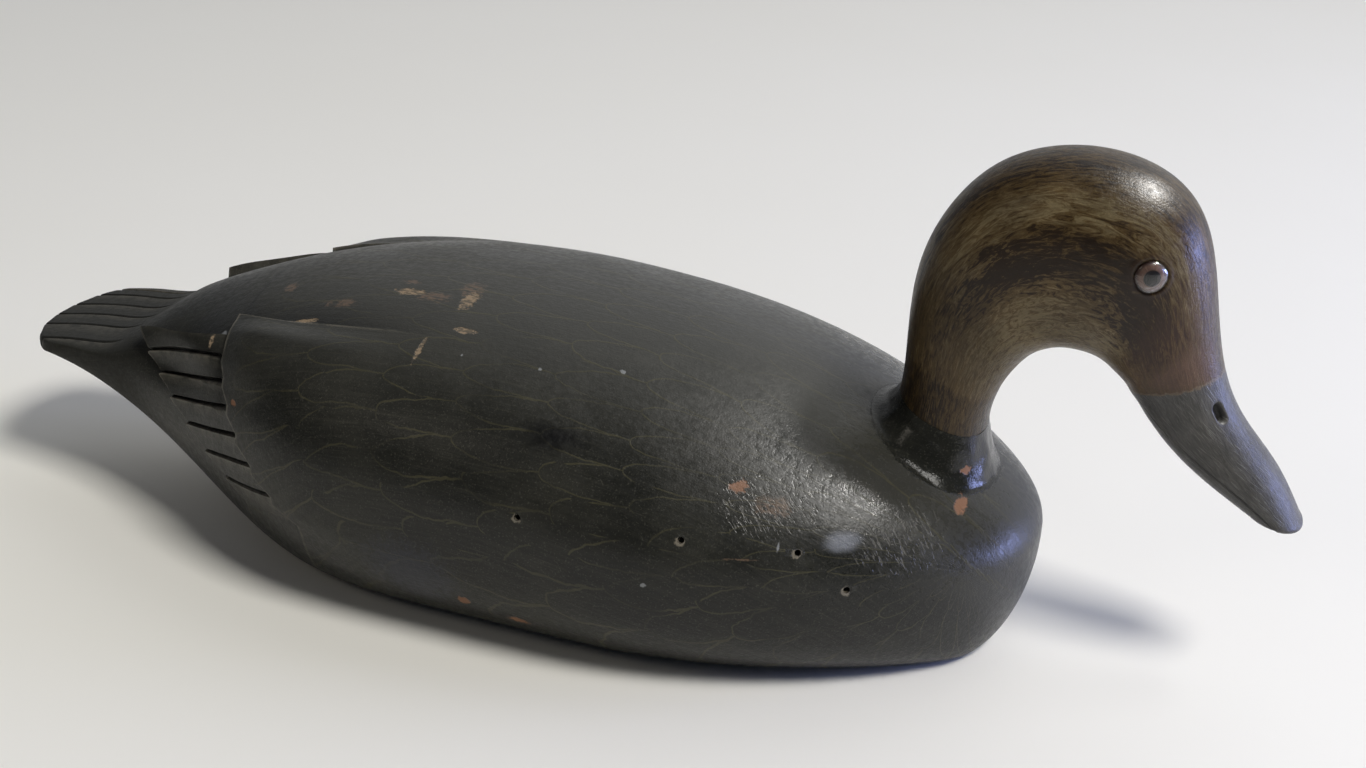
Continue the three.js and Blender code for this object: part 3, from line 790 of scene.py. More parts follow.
def cut_grooves(piece, material):
    tree, names = groove_tree()
    modifier = piece.modifiers.new("cut_grooves", "NODES")
    modifier.node_group = tree
    for name, value in GROOVE_SETTINGS.items():
        modifier[names[name]] = value
    modifier[names["Material"]] = material
    make_plain(piece)


body_paint = bpy.data.materials.new("body_paint")
cut_grooves(body, body_paint)
print("grooves cut, deepest mm:", round(float(values[..., 2].max()), 2))

# %% [markdown]
# ## The head's shape
# Head, neck and bill are one piece of wood. Its pattern runs along a bent line, from the neck's seat
# over the crown to the bill: each section has a point on the outer curve, one on the throat side and
# half the width. A loft through them keeps the smooth arch that a lathe or a block could not give.

# %% The head's pattern
HEAD_PATTERN = [
    dict(back=(343, 69), front=(381.5, 64), half=21),
    dict(back=(347.5, 88.5), front=(378, 76.8), half=19),
    dict(back=(348.5, 107), front=(380.5, 91), half=19.2),
    dict(back=(349.5, 128), front=(385, 100.3), half=20),
    dict(back=(356, 149.5), front=(390, 107), half=23),
    dict(back=(373, 170), front=(394.8, 110.5), half=25),
    dict(back=(399.3, 178.4), front=(400, 112.4), half=26),
    dict(back=(424.3, 173.6), front=(406, 112.4), half=25),
    dict(back=(439.6, 158), front=(412.4, 110.3), half=21.5),
    dict(back=(446.3, 134), front=(417.8, 106.3), half=18.5),
    dict(back=(451.2, 112.7), front=(421.7, 102.3), half=15.5),
    dict(back=(459.8, 95), front=(428.5, 92.3), half=13.5),
    dict(back=(473, 79), front=(442.7, 78), half=14),
    dict(back=(483, 62.5), front=(464.2, 64.2), half=12),
]
HEAD_FULLNESS = 2.2
SEAT_SECTION = 1
LAST_SECTION = len(HEAD_PATTERN) - 1
BILL_TIP_REACH = 6

head_places = np.arange(len(HEAD_PATTERN))
head_curve = {
    side: [natural_spline(head_places, [row[side][axis] for row in HEAD_PATTERN]) for axis in (0, 1)]
    for side in ("back", "front")
}
head_half = natural_spline(head_places, [row["half"] for row in HEAD_PATTERN])


def head_side(side, section):
    along, height = (curve(section) for curve in head_curve[side])
    return np.stack(np.broadcast_arrays(along, 0.0, height), -1)


def head_point(section, turn, shrink=1.0):
    """Turn 0 is the outer curve, 180 the throat side, and the right side is plus."""
    section = np.asarray(section, float)
    back, front = head_side("back", section), head_side("front", section)
    sine, cosine = np.sin(np.radians(turn)), np.cos(np.radians(turn))
    power = HEAD_FULLNESS
    size = shrink * (np.abs(sine) ** power + np.abs(cosine) ** power) ** (-1 / power)
    point = (back + front) / 2 + (back - front) / 2 * (cosine * size)[..., None]
    point[..., 1] = -head_half(section) * sine * size
    return point


def head_normal(section, turn):
    onward = head_point(section + 0.02, turn) - head_point(section - 0.02, turn)
    around = head_point(section, turn + 1) - head_point(section, turn - 1)
    return unit(np.cross(around, onward))


print("crown height in mm:", round(float(head_point(6.2, 0.0)[2])))

# %% [markdown]
# ## Cuts in the head
# The line between the bill's two halves runs along the net, so it is cut by moving one of the net's
# lines. Eye sockets and nostrils are pressed in by their distance from a centre, which a fine net
# takes without a boolean cut.

# %% The head's net
MANDIBLE = dict(starts=10.2, ends=13, root_turn=140, tip_turn=88, depth=0.8, half=3.5, set_back=0.5)
EYE = dict(section=7.57, turn=71, radius=5.5, bulge=2.6, sunk=0.5, socket=3.0, lip=0.35)
NOSTRIL = dict(section=10.67, turn=43, length=8, width=4.4, depth=2, lip=0.15, steep=0.6)
HEAD_RINGS = 330
HEAD_LINES = 15
ROUND_SCALE = 0.42


def mandible_turn(section):
    part = ease((section - MANDIBLE["starts"]) / (MANDIBLE["ends"] - MANDIBLE["starts"]))
    return mix(MANDIBLE["root_turn"], MANDIBLE["tip_turn"], part)


def one_side_turns(section):
    """Turns of the lines on one side, and how much of the mandible line each one cuts."""
    line = mandible_turn(section)
    half = MANDIBLE["half"]
    key_turns = np.array([0, *((line - half) * np.linspace(0, 1, 7)[1:]), line, line + half,
                          *np.linspace(line + half, 180, 4)[1:]])
    key_cuts = np.zeros(len(key_turns))
    key_cuts[7] = 1
    spots = [np.arange(n) / n + i for i, n in enumerate([HEAD_LINES] * 6 + [5, 5] + [12] * 3)]
    spots = np.append(np.concatenate(spots), 11)
    return np.interp(spots, np.arange(12), key_turns), np.interp(spots, np.arange(12), key_cuts)


def head_ring(section, shrink=1.0):
    """A ring round the head, its turns, and the cut of the mandible line."""
    turns, cuts = one_side_turns(section)
    turns = np.concatenate([turns, -turns[-2:0:-1]])
    cuts = np.concatenate([cuts, cuts[-2:0:-1]])
    sections = np.full(len(turns), float(section))
    points = head_point(sections, turns, shrink)
    reach = ease((section - MANDIBLE["starts"]) / 0.5)
    below = ease((np.abs(turns) - mandible_turn(section)) / MANDIBLE["half"])
    inward = MANDIBLE["depth"] * cuts + MANDIBLE["set_back"] * below
    points -= head_normal(sections, turns) * (inward * reach * shrink)[:, None]
    return points, turns, cuts * reach


def even_sections(count):
    """Sections at even distances along the head's middle line."""
    fine = np.linspace(SEAT_SECTION, LAST_SECTION, 2000)
    middle = mix(head_side("front", fine), head_side("back", fine), 0.7)
    length = np.concatenate([[0], np.cumsum(np.linalg.norm(np.diff(middle, axis=0), axis=1))])
    return np.interp(np.linspace(0, length[-1], count), length, fine), length[-1]


def head_rings():
    sections, length = even_sections(HEAD_RINGS)
    rings = [head_ring(section) for section in sections]
    before, last = [
        (head_side("back", section) + head_side("front", section)) / 2
        for section in (LAST_SECTION - 0.2, LAST_SECTION)
    ]
    onward = unit(last - before) * BILL_TIP_REACH
    for part in np.sin(np.linspace(0, math.pi / 2, 14)[1:-1]):
        points, turns, cuts = head_ring(LAST_SECTION, math.sqrt(1 - part ** 2))
        rings.append((points + onward * part, turns, cuts))
    tip = last + onward
    places = np.linspace(0, length, HEAD_RINGS).tolist()
    places += [length + i for i in range(1, len(rings) - HEAD_RINGS + 1)]
    return rings, places, tip


def press_in(points, centre, outward, along, half_length, half_width, depth, lip, steep=0.35):
    """Sinks the points inside an oval or a slot, and raises a lip round it."""
    across = np.cross(outward, along)
    away = points - centre
    run = np.maximum(np.abs(away @ along) - (half_length - half_width), 0)
    distance = np.hypot(run, away @ across) / half_width
    near = np.abs(away @ outward) < 3 * half_width
    sink = depth * (1 - ease((distance - 1 + steep) / steep))
    raised = lip * np.exp(-(((distance - 1.12) / 0.1) ** 2))
    points += outward * (near * (raised - sink))[:, None]
    return near * (1 - ease((distance - 1 + steep) / steep)), distance


def surface_frame(section, turn):
    """A place on the head, its outward direction, and the direction towards the bill."""
    centre = head_point(section, float(turn))
    outward = head_normal(section, float(turn))
    onward = head_point(section + 0.1, float(turn)) - centre
    onward = unit(onward - outward * (onward @ outward))
    return centre, outward, onward


def make_head():
    rings, places, tip = head_rings()
    count = len(rings[0][0])
    base = rings[0][0]
    up = unit(rings[1][0][0] - base[0])
    opening = ease((np.abs(rings[0][1]) - 128) / 30)[:, None]
    rings[0] = (base + up * mix(-1.5, 0.4, opening), *rings[0][1:])
    points = np.vstack([ring[0] for ring in rings] + [base.mean(0) - up * 1.5, tip])
    hollow = np.zeros(len(points))
    rim = np.zeros(len(points))
    for side in (-1, 1):
        centre, outward, onward = surface_frame(EYE["section"], side * EYE["turn"])
        socket, away = press_in(
            points, centre, outward, onward, EYE["radius"], EYE["radius"], EYE["socket"], EYE["lip"])
        rim += np.exp(-(((away - 1.2) / 0.16) ** 2)) * (np.abs((points - centre) @ outward) < 9)
        centre, outward, onward = surface_frame(NOSTRIL["section"], side * NOSTRIL["turn"])
        slot, _ = press_in(
            points, centre, outward, onward,
            NOSTRIL["length"] / 2, NOSTRIL["width"] / 2, NOSTRIL["depth"], NOSTRIL["lip"], NOSTRIL["steep"],
        )
        hollow += socket + slot
    lay = [np.column_stack([np.full(count, place), turns * ROUND_SCALE, np.ones(count)])
           for place, (_, turns, _) in zip(places, rings)]
    lay += [(places[0], 0, 1), (places[-1] + 1, 0, 1)]
    cuts = np.concatenate([ring[2] for ring in rings] + [[0, 0]])
    return closed_piece(
        "carved_head", points, tube_faces(len(rings), count),
        lay=np.vstack(lay), hollow=np.maximum(hollow, cuts), rim=rim,
    )


head = make_head()
print("head triangles:", triangles(head))

# %% [markdown]
# ## The collar round the neck
# Where the neck stands on the body, filler was smoothed out by hand. It is a loft too: rings leave
# the neck's seat and run out onto the back in a hollow curve. Joined with the body by a boolean
# union, it is one piece with the body again, as the real one is under its paint.

# %% Collar and union
COLLAR = dict(front_reach=6, side_reach=10, hollow=2.2, sunk=4, root=40)
COLLAR_PARTS = [1.3, *np.linspace(1.05, 0, 34)]


def lumps(points, size, height):
    """How far a hand-made surface stands out at each point, in mm."""
    return np.array([noise.noise(Vector(point) / size) for point in points]) * height


def make_collar():
    seat, turns, _ = head_ring(SEAT_SECTION)
    middle = (head_side("back", SEAT_SECTION) + head_side("front", SEAT_SECTION)) / 2
    away = unit((seat - middle) * (1, 1, 0))
    reach = mix(COLLAR["side_reach"], COLLAR["front_reach"], ease(away[:, 0]))[:, None]
    rise = seat[:, 2] - back_height(seat[:, 0], seat[:, 1])
    rings = []
    for part in COLLAR_PARTS:
        ring = seat + away * reach * part
        sunk = COLLAR["sunk"] if part > 1.1 else 0.25 * ease((part - 0.93) / 0.1)
        climb = rise * max(1 - part, 0) ** COLLAR["hollow"]
        ring[:, 2] = back_height(ring[:, 0], ring[:, 1]) + climb - sunk
        ring += away * (lumps(ring, 7, 0.7) * ease(part * 5) * ease((1 - part) * 4))[:, None]
        rings.append(ring)
    points = np.vstack(rings + [middle - (0, 0, COLLAR["root"]), middle])
    lay = np.column_stack([points[:, 0], -points[:, 1], np.zeros(len(points))])
    return closed_piece("neck_collar", points, tube_faces(len(rings), len(seat)), lay=lay)


def boolean(piece, other, operation):
    modifier = piece.modifiers.new(operation.lower(), "BOOLEAN")
    modifier.operation = operation
    modifier.solver = "MANIFOLD"
    modifier.object = other
    make_plain(piece)
    bpy.data.objects.remove(other)


boolean(body, make_collar(), "UNION")
print("body triangles with the collar:", triangles(body))

# %% [markdown]
# ## Small holes
# Four small round holes, like those of shot, are in the right side. Cutters shaped like thimbles are
# sunk into the wood and taken away by one boolean difference, which leaves sharp rims.

# %% Holes in the body
SMALL_HOLES = [(241, 76), (296, 71), (332, 68.5), (348, 83.5)]
HOLE_RADIUS = 1.05
HOLE_DEPTH = 2.6
HOLE_PROFILE = [(1, 0.45), (0.7, 0.85), (0.25, 1)]
CUTTER_TOP = 1.5


def make_hole_cutters():
    sides = 16
    profile = [(-part * HOLE_DEPTH, size) for part, size in HOLE_PROFILE] + [(CUTTER_TOP, 1.1)]
    angles = np.linspace(0, 2 * math.pi, sides, endpoint=False)
    all_points, faces = [], []
    for along, turn in SMALL_HOLES:
        centre = body_point(along, turn)
        outward = body_normal(along, turn)
        across = unit(np.cross(outward, (0, 0, 1)))
        upward = np.cross(across, outward)
        first = len(all_points)
        for height, size in profile:
            ring = HOLE_RADIUS * size * (np.outer(np.cos(angles), across) + np.outer(np.sin(angles), upward))
            all_points += list(centre + outward * height + ring)
        all_points += [centre - outward * HOLE_DEPTH, centre + outward * CUTTER_TOP]
        faces += [[first + i for i in face] for face in tube_faces(len(profile), sides)]
    return closed_piece("hole_cutters", all_points, faces)


boolean(body, make_hole_cutters(), "DIFFERENCE")
for face in body.data.polygons:
    face.use_smooth = True
body.data.set_sharp_from_angle(angle=math.radians(50))
print("body triangles:", triangles(body))

# %% [markdown]
# ## Glass eyes
# A glass eye is a clear button, domed in front, with the iris and the pupil painted on its back. Two
# pieces give the same look: a thin lathed shell of clear glass, and close behind it a dome that
# carries the colours. One profile turned round an axis makes either of them.

# %% Eyes
EYE_SEGMENTS = 64
DOME_STEPS = 22
SOCKET_GAP = 0.05
GLASS_WALL = 0.4
GLASS_FOOT = 0.2
IRIS_GAP = 0.1
IRIS_BACK = (1.2, 1.4)


def lathe(name, profile, centre, outward, onward):
    """Turns a profile of (radius, height) round the outward axis. It starts and ends on the axis."""
    across = np.cross(outward, onward)
    angles = np.linspace(0, 2 * math.pi, EYE_SEGMENTS, endpoint=False)
    circle = np.outer(np.cos(angles), onward) + np.outer(np.sin(angles), across)
    flat = np.column_stack([np.cos(angles), np.sin(angles), 0 * angles])
    rings = [centre + circle * radius + outward * height for radius, height in profile[1:-1]]
    lay = [flat * radius for radius, _ in profile[1:-1]]
    ends = [centre + outward * profile[0][1], centre + outward * profile[-1][1]]
    faces = tube_faces(len(rings), EYE_SEGMENTS)
    return closed_piece(name, np.vstack(rings + ends), faces, lay=np.vstack(lay + [np.zeros((2, 3))]))


def dome(radius, bulge):
    """A profile from the top of a dome to its foot."""
    rise = np.radians(np.linspace(90, 0, DOME_STEPS))
    return [(radius * math.cos(angle), bulge * math.sin(angle)) for angle in rise]


def make_eye(side, name):
    centre, outward, onward = surface_frame(EYE["section"], side * EYE["turn"])
    centre = centre - outward * EYE["sunk"]
    radius, bulge = EYE["radius"] - SOCKET_GAP, EYE["bulge"]
    inner = radius - GLASS_WALL
    foot = [(radius, -GLASS_FOOT), (inner, -GLASS_FOOT)]
    shell = dome(radius, bulge) + foot + dome(inner, bulge - GLASS_WALL - IRIS_GAP)[::-1]
    glass = lathe("glass_" + name, shell, centre, outward, onward)
    iris_radius = inner - IRIS_GAP
    back = [(iris_radius, -IRIS_BACK[0]), (0, -IRIS_BACK[1])]
    front = dome(iris_radius, bulge - GLASS_WALL - 2 * IRIS_GAP)
    iris = lathe("iris_" + name, front + back, centre, outward, onward)
    return glass, iris


eyes = {name: make_eye(side, name) for name, side in (("right", 1), ("left", -1))}
print("eyes across in mm:", 2 * EYE["radius"])

# %% [markdown]
# ## Paint as node groups
# The old paint does the same few things everywhere: it has grain, it is streaked by the brush, it is
# chipped down to the wood, and feathers are drawn on it in thin lines. Each of these is a node group
# that is built once and used with other values in every finish.

# %% Helpers for shader nodes
def new_group(name, inputs, outputs):
    tree = bpy.data.node_groups.new(name, "ShaderNodeTree")
    group_sockets(tree, inputs, outputs)
    return tree, add_node(tree, "NodeGroupInput").outputs, add_node(tree, "NodeGroupOutput").inputs


def use_group(tree, group, **values):
    """A node that uses a group. Words of an input's name are joined by _ in the call."""
    node = add_node(tree, "ShaderNodeGroup", node_tree=group)
    for name, value in values.items():
        link(tree, value, node.inputs[name.replace("_", " ")])
    return node.outputs


def noise_of(tree, vector, scale, detail=2.0, roughness=0.5, distortion=0.0):
    values = dict(Vector=vector, Scale=scale, Detail=detail, Roughness=roughness, Distortion=distortion)
    return add_node(tree, "ShaderNodeTexNoise", values).outputs[0]


def ramp(tree, value, start, end, low=0.0, high=1.0):
    """Eases from low to high while the value goes from start to end."""
    values = {0: value, 1: start, 2: end, 3: low, 4: high}
    return add_node(tree, "ShaderNodeMapRange", values, interpolation_type="SMOOTHSTEP").outputs[0]


def blend(tree, share, first, second, **settings):
    """The first colour where the share is 0, and the second where it is 1."""
    first, second = ((*colour, 1) if isinstance(colour, tuple) else colour for colour in (first, second))
    inputs = {0: share, 6: first, 7: second}
    return add_node(tree, "ShaderNodeMix", inputs, data_type="RGBA", **settings).outputs[2]


def stretched(tree, vector, scale):
    return vector_sum(tree, "MULTIPLY", vector, scale)


def link_all(tree, sockets, **results):
    for name, result in results.items():
        link(tree, result, sockets[name])


# %% Brushed paint
def brushed_paint_group():
    """Paint laid on with a stiff brush: its colour shifts in streaks, and grit and dabs stand in it."""
    tree, start, end = new_group(
        "brushed_paint",
        {"Place": ("Vector", None), "Lay": ("Vector", None), "Paint": ("Color", None),
         "Second Paint": ("Color", None), "Speck": ("Color", None),
         "Streaks": ("Float", 0.5), "Specks": ("Float", 0.5), "Gloss": ("Float", 0.5)},
        {"Color": "Color", "Roughness": "Float", "Height": "Float"},
    )
    streak = noise_of(tree, stretched(tree, start["Lay"], (0.035, 0.55, 1.0)), 1.0, 4.0, 0.65, 0.6)
    cloud = noise_of(tree, start["Place"], 38.0, 3.0, 0.55)
    dabs = noise_of(tree, start["Place"], 420.0, 2.0, 0.6)
    grit = noise_of(tree, start["Place"], 1500.0, 1.5, 0.6)
    streaky = times(tree, ramp(tree, streak, 0.4, 0.65), start["Streaks"])
    share = plus(tree, streaky, ramp(tree, cloud, 0.35, 0.75, -0.2, 0.6), clamp=True)
    colour = blend(tree, share, start["Paint"], start["Second Paint"])
    dots = times(tree, ramp(tree, grit, 0.56, 0.72), start["Specks"])
    rough = plus(
        tree, minus(tree, 0.62, times(tree, start["Gloss"], 0.34)),
        ramp(tree, dabs, 0.3, 0.7, -0.05, 0.07), ramp(tree, cloud, 0.3, 0.7, -0.04, 0.06), clamp=True,
    )
    height = plus(tree, times(tree, grit, 0.25), times(tree, dabs, 0.55), times(tree, streak, 0.35))
    link_all(tree, end, Color=blend(tree, dots, colour, start["Speck"]), Roughness=rough, Height=height)
    return tree


# %% Drawn feathers
def drawn_feathers_group():
    """Rows of feathers like scales, their round ends towards the tail, drawn in a wavering line."""
    tree, start, end = new_group(
        "drawn_feathers",
        {"Lay": ("Vector", None), "Feather Length": ("Float", 30.0), "Feather Width": ("Float", 15.0),
         "Line": ("Float", 0.42), "Waver": ("Float", 5.0)},
        {"Line": "Float"},
    )

    def shaken(scale, detail, reach):
        """A shift that wanders over the lay, as an unsteady hand does."""
        values = {"Vector": start["Lay"], "Scale": scale, "Detail": detail}
        wave = add_node(tree, "ShaderNodeTexNoise", values)
        off = vector_sum(tree, "SUBTRACT", wave.outputs["Color"], (0.5, 0.5, 0.5))
        return vector_sum(tree, "SCALE", off, reach)

    def length_of(first, second):
        squares = plus(tree, times(tree, first, first), times(tree, second, second))
        return sum_of(tree, "SQRT", squares)

    moved = vector_sum(tree, "ADD", start["Lay"], shaken(0.026, 1.5, times(tree, start["Waver"], 2.0)))
    split = parts_of(tree, vector_sum(tree, "ADD", moved, shaken(0.22, 1.0, 1.6)))
    column = sum_of(tree, "DIVIDE", split[0], start["Feather Length"])
    odd = times(tree, sum_of(tree, "FLOORED_MODULO", sum_of(tree, "FLOOR", column), 2.0), 0.5)
    row = plus(tree, sum_of(tree, "DIVIDE", split[1], start["Feather Width"]), odd)
    across = sum_of(tree, "MULTIPLY_ADD", sum_of(tree, "FRACT", row), 2.0, -1.0)
    ahead = minus(tree, 1.0, sum_of(tree, "FRACT", column))
    reach = length_of(ahead, across)
    steep = length_of(
        sum_of(tree, "DIVIDE", ahead, start["Feather Length"]),
        sum_of(tree, "DIVIDE", times(tree, across, 2.0), start["Feather Width"]),
    )
    from_line = sum_of(
        tree, "DIVIDE", times(tree, minus(tree, reach, 1.0), reach), sum_of(tree, "MAXIMUM", steep, 0.001))
    away = sum_of(tree, "DIVIDE", sum_of(tree, "ABSOLUTE", from_line), start["Line"])
    link_all(tree, end, Line=ramp(tree, away, 0.35, 1.0, 1.0, 0.0))
    return tree


# %% Spots and scratches
def spot_group():
    """A ragged oval spot round a centre, for a chip, a stain or a dab of paint."""
    tree, start, end = new_group(
        "spot",
        {"Place": ("Vector", None), "Centre": ("Vector", None), "Size": ("Vector", None),
         "Ragged": ("Float", 0.0), "Softness": ("Float", 0.2)},
        {"Spot": "Float"},
    )
    away = vector_sum(tree, "SUBTRACT", start["Place"], start["Centre"])
    away = vector_sum(tree, "DIVIDE", away, start["Size"])
    distance = plus(tree, vector_sum(tree, "LENGTH", away), start["Ragged"])
    inner = minus(tree, 1.0, start["Softness"])
    outer = plus(tree, 1.0, start["Softness"])
    link_all(tree, end, Spot=ramp(tree, distance, inner, outer, 1.0, 0.0))
    return tree


def scratches_group():
    """Short strokes that all slant one way, for brush marks, scratches and nicks."""
    tree, start, end = new_group(
        "scratches",
        {"Lay": ("Vector", None), "Slant": ("Float", 0.0), "Length": ("Float", 20.0), "Width": ("Float", 1.0),
         "Amount": ("Float", 0.3)},
        {"Scratch": "Float"},
    )
    turned = add_node(
        tree, "ShaderNodeVectorRotate", {"Vector": start["Lay"], "Angle": start["Slant"]},
        rotation_type="Z_AXIS",
    )
    split = parts_of(tree, turned.outputs[0])
    place = add_node(tree, "ShaderNodeCombineXYZ", {
        0: sum_of(tree, "DIVIDE", split[0], start["Length"]),
        1: sum_of(tree, "DIVIDE", split[1], start["Width"]),
        2: times(tree, split[2], 0.02),
    })
    strokes = noise_of(tree, place.outputs[0], 1.0, 2.0, 0.55)
    edge = minus(tree, 0.78, times(tree, start["Amount"], 0.4))
    link_all(tree, end, Scratch=ramp(tree, strokes, edge, plus(tree, edge, 0.09)))
    return tree


groups = {
    "paint": brushed_paint_group(),
    "feathers": drawn_feathers_group(),
    "spot": spot_group(),
    "scratches": scratches_group(),
}
print("shader groups:", sorted(groups))


# %% Starting and finishing a material
OLD_PAINT_SHINE = 0.3
BUMP_DISTANCE = 0.0004


def painted_material(material):
    material.use_nodes = True
    tree = material.node_tree
    tree.nodes.clear()
    shader = add_node(tree, "ShaderNodeBsdfPrincipled")
    add_node(tree, "ShaderNodeOutputMaterial", {"Surface": shader.outputs[0]})
    place = add_node(tree, "ShaderNodeTexCoord").outputs["Object"]
    return tree, shader, place


def attribute(tree, name):
    return add_node(tree, "ShaderNodeAttribute", attribute_name=name).outputs


def spots(tree, places, place, ragged, softness):
    """The union of several spots, each given as its centre on the duck and its half sizes in mm."""
    total = None
    for centre, size in places:
        spot = use_group(
            tree, groups["spot"], Place=place, Centre=row_place(*centre), Size=Vector(size) * MM,
            Ragged=ragged, Softness=softness,
        )["Spot"]
        total = spot if total is None else sum_of(tree, "MAXIMUM", total, spot)
    return total


def scratched(tree, lay, **values):
    return use_group(tree, groups["scratches"], Lay=lay, **values)["Scratch"]


def laid_over(tree, colour, coats):
    """Lays one coat after another over a colour, each given as its share and its own colour."""
    for share, tint in coats:
        colour = blend(tree, share, colour, tint)
    return colour


def finish_material(tree, shader, colour, rough, height, bump):
    values = {"Height": height, "Strength": bump, "Distance": BUMP_DISTANCE}
    normal = add_node(tree, "ShaderNodeBump", values).outputs[0]
    shader.inputs["Specular IOR Level"].default_value = OLD_PAINT_SHINE
    results = {"Base Color": colour, "Roughness": rough, "Normal": normal}
    link_all(tree, shader.inputs, **results)


# %% [markdown]
# ## The body's paint
# The body is charcoal black with fine tan outlines of feathers. It is rubbed pale on the edges of the
# carving and chipped to the wood in some places. Shade is painted darker into the grooves, the creases,
# the holes and over the tail, a sheen lighter on the back, and a blue reflection low on the rear flank.
# What follows the surface reads the lay of the paint, which every point of the mesh carries in
# millimetres; chips and grain read the place on the object.

# %% Chips, stains and a painted blue reflection on the body
DIM_WOOD = [
    ((121.4, -19.7, 94.5), (2.4, 3, 1.6)), ((149.2, -31.5, 97.8), (5.5, 2.2, 4)),
    ((169.1, -15.5, 102.8), (3.2, 1.6, 4)), ((182, -24.2, 102.5), (6.0, 2.8, 4)),
    ((193.6, -15.5, 103.5), (4.0, 4.5, 4)), ((322, -65.2, 68), (6, 4, 2.6)),
    ((314.8, -78.8, 54.3), (5.6, 3, 0.3)),
]
BARE_WOOD = [
    ((172, -22.3, 102), (5.5, 2.0, 4)), ((195.4, -23, 103), (2.4, 6.0, 4)),
    ((201.9, -40.5, 99.5), (3.6, 1.3, 4)), ((189.9, -52, 95.2), (0.9, 5, 5)),
    ((101.7, -43.9, 80.4), (1.0, 3, 2.5)), ((138.9, -40.3, 92.7), (5.0, 0.9, 3)),
]
ORANGE_PRIMER = [
    ((218, -82.3, 18.8), (2.3, 4, 1.6)), ((238.1, -80.8, 14.5), (3.8, 4, 1.2)),
    ((309.9, -65.1, 72.9), (2.5, 4, 1.5)), ((375.7, -27, 59.7), (1.8, 4, 3.2)),
    ((374.8, -17, 67.4), (1.6, 3, 1.3)), ((120.8, -62.8, 67.2), (1.4, 4, 0.9)),
]
WHITE_MARKS = [
    ((102.4, -37, 80), (1.8, 1.4, 0.9)), ((325.8, -72.5, 58), (0.45, 3, 1.5)),
    ((285.4, -87.5, 43.3), (0.9, 3, 0.8)), ((260.7, -41.9, 94.9), (0.9, 0.9, 3)),
    ((234, -50.1, 95), (0.6, 0.6, 3)), ((205.7, -51.4, 95.8), (0.5, 0.5, 3)),
]
PAINT_DAB = [((344.4, -62.3, 58.2), (5.2, 6, 2.5))]
DARK_STAINS = [((247.5, -70.6, 81.8), (9.0, 6, 3.4))]
BLUE_REFLECTION_PLACES = [((199, -85, 27), (15, 9, 12))]
NICKED_PLACES = [((362, -53, 55), (13, 14, 8)), ((320, -66, 67), (14, 12, 7))]
RUBBED_SHINY = [((352, -42, 67), (34, 30, 18)), ((352, 42, 67), (34, 30, 18))]


def hole_spots(radius, away):
    """Spots at the holes, moved back and down a little for the splintered edge."""
    centres = [body_point(along, turn) for along, turn in SMALL_HOLES]
    return [((x - away, y, z - away), (radius,) * 3) for x, y, z in centres]


# %% Body paint
BODY_TINTS = dict(
    charcoal=(0.0135, 0.0137, 0.0112, 1), streak=(0.028, 0.0275, 0.0215, 1), grit=(0.11, 0.105, 0.085, 1),
    tail=(0.011, 0.011, 0.008), back_sheen=(0.052, 0.051, 0.043), brush=(0.055, 0.052, 0.040),
    feather=(0.072, 0.066, 0.036), rubbed=(0.16, 0.145, 0.115), crease_shade=(0.008, 0.008, 0.008),
    groove=(0.006, 0.006, 0.006), stain=(0.003, 0.003, 0.003), nick=(0.13, 0.125, 0.11),
    bluish=(0.032, 0.035, 0.060), dim_wood=(0.16, 0.105, 0.07), bare_wood=(0.26, 0.19, 0.12),
    primer=(0.27, 0.135, 0.075), white=(0.30, 0.31, 0.32), dab=(0.22, 0.23, 0.25),
    splinters=(0.34, 0.30, 0.23), hole=(0.01, 0.008, 0.006),
)
RIM_RADIUS = 1.45
RIM_SHIFT = 0.5
HOLE_DARK_RADIUS = 1.12


def drawn_line(tree, place, along, off_collar):
    """The feathers' outlines, thinner in patches. They start at the coverts and end at the collar."""
    pattern = attribute(tree, "feather_lay")["Vector"]
    drawn = use_group(tree, groups["feathers"], Lay=pattern)["Line"]
    patchy = ramp(tree, noise_of(tree, place, 34.0, 3.0, 0.6), 0.34, 0.58, 0.1, 0.6)
    return times(tree, drawn, patchy, ramp(tree, along, 112.0, 135.0), off_collar)


def wear_and_painted_light_coats(tree, place, lay, line):
    """Brush marks, drawn feathers, wear, and painted shade and sheen all over the body, each as its share and
    its colour.
    """
    along, round_back, off_collar = parts_of(tree, lay)
    rub = attribute(tree, "rub")["Fac"]
    cut = attribute(tree, "cut")["Fac"]
    on_back = ramp(tree, sum_of(tree, "ABSOLUTE", round_back), 45.0, 85.0, 0.6, 0.0)
    uneven = ramp(tree, noise_of(tree, place, 260.0, 3.0, 0.6), 0.3, 0.6, 0.15, 1.0)
    brushed = scratched(tree, lay, Length=26.0, Width=0.7, Amount=0.42)
    return [
        # Painted shade: the tail is darker towards its tip.
        (ramp(tree, along, 45.0, 75.0, 0.6, 0.0), BODY_TINTS["tail"]),
        # Painted sheen: the top of the back is lighter, away from the tail and the collar.
        (times(tree, on_back, times(tree, ramp(tree, along, 70.0, 170.0), off_collar)), BODY_TINTS["back_sheen"]),
        (times(tree, brushed, 0.3), BODY_TINTS["brush"]),
        (line, BODY_TINTS["feather"]),
        (times(tree, rub, uneven, 0.65, clamp=True), BODY_TINTS["rubbed"]),
        # Painted shade: darker in the creases at the feet of the wing steps and beside the grooves, where the
        # wear value is below 0.
        (times(tree, rub, -0.8, clamp=True), BODY_TINTS["crease_shade"]),
        # Painted shade: darker in the bottoms of the cut grooves.
        (ramp(tree, cut, 0.25, 1.0, 0.0, 0.9), BODY_TINTS["groove"]),
    ]


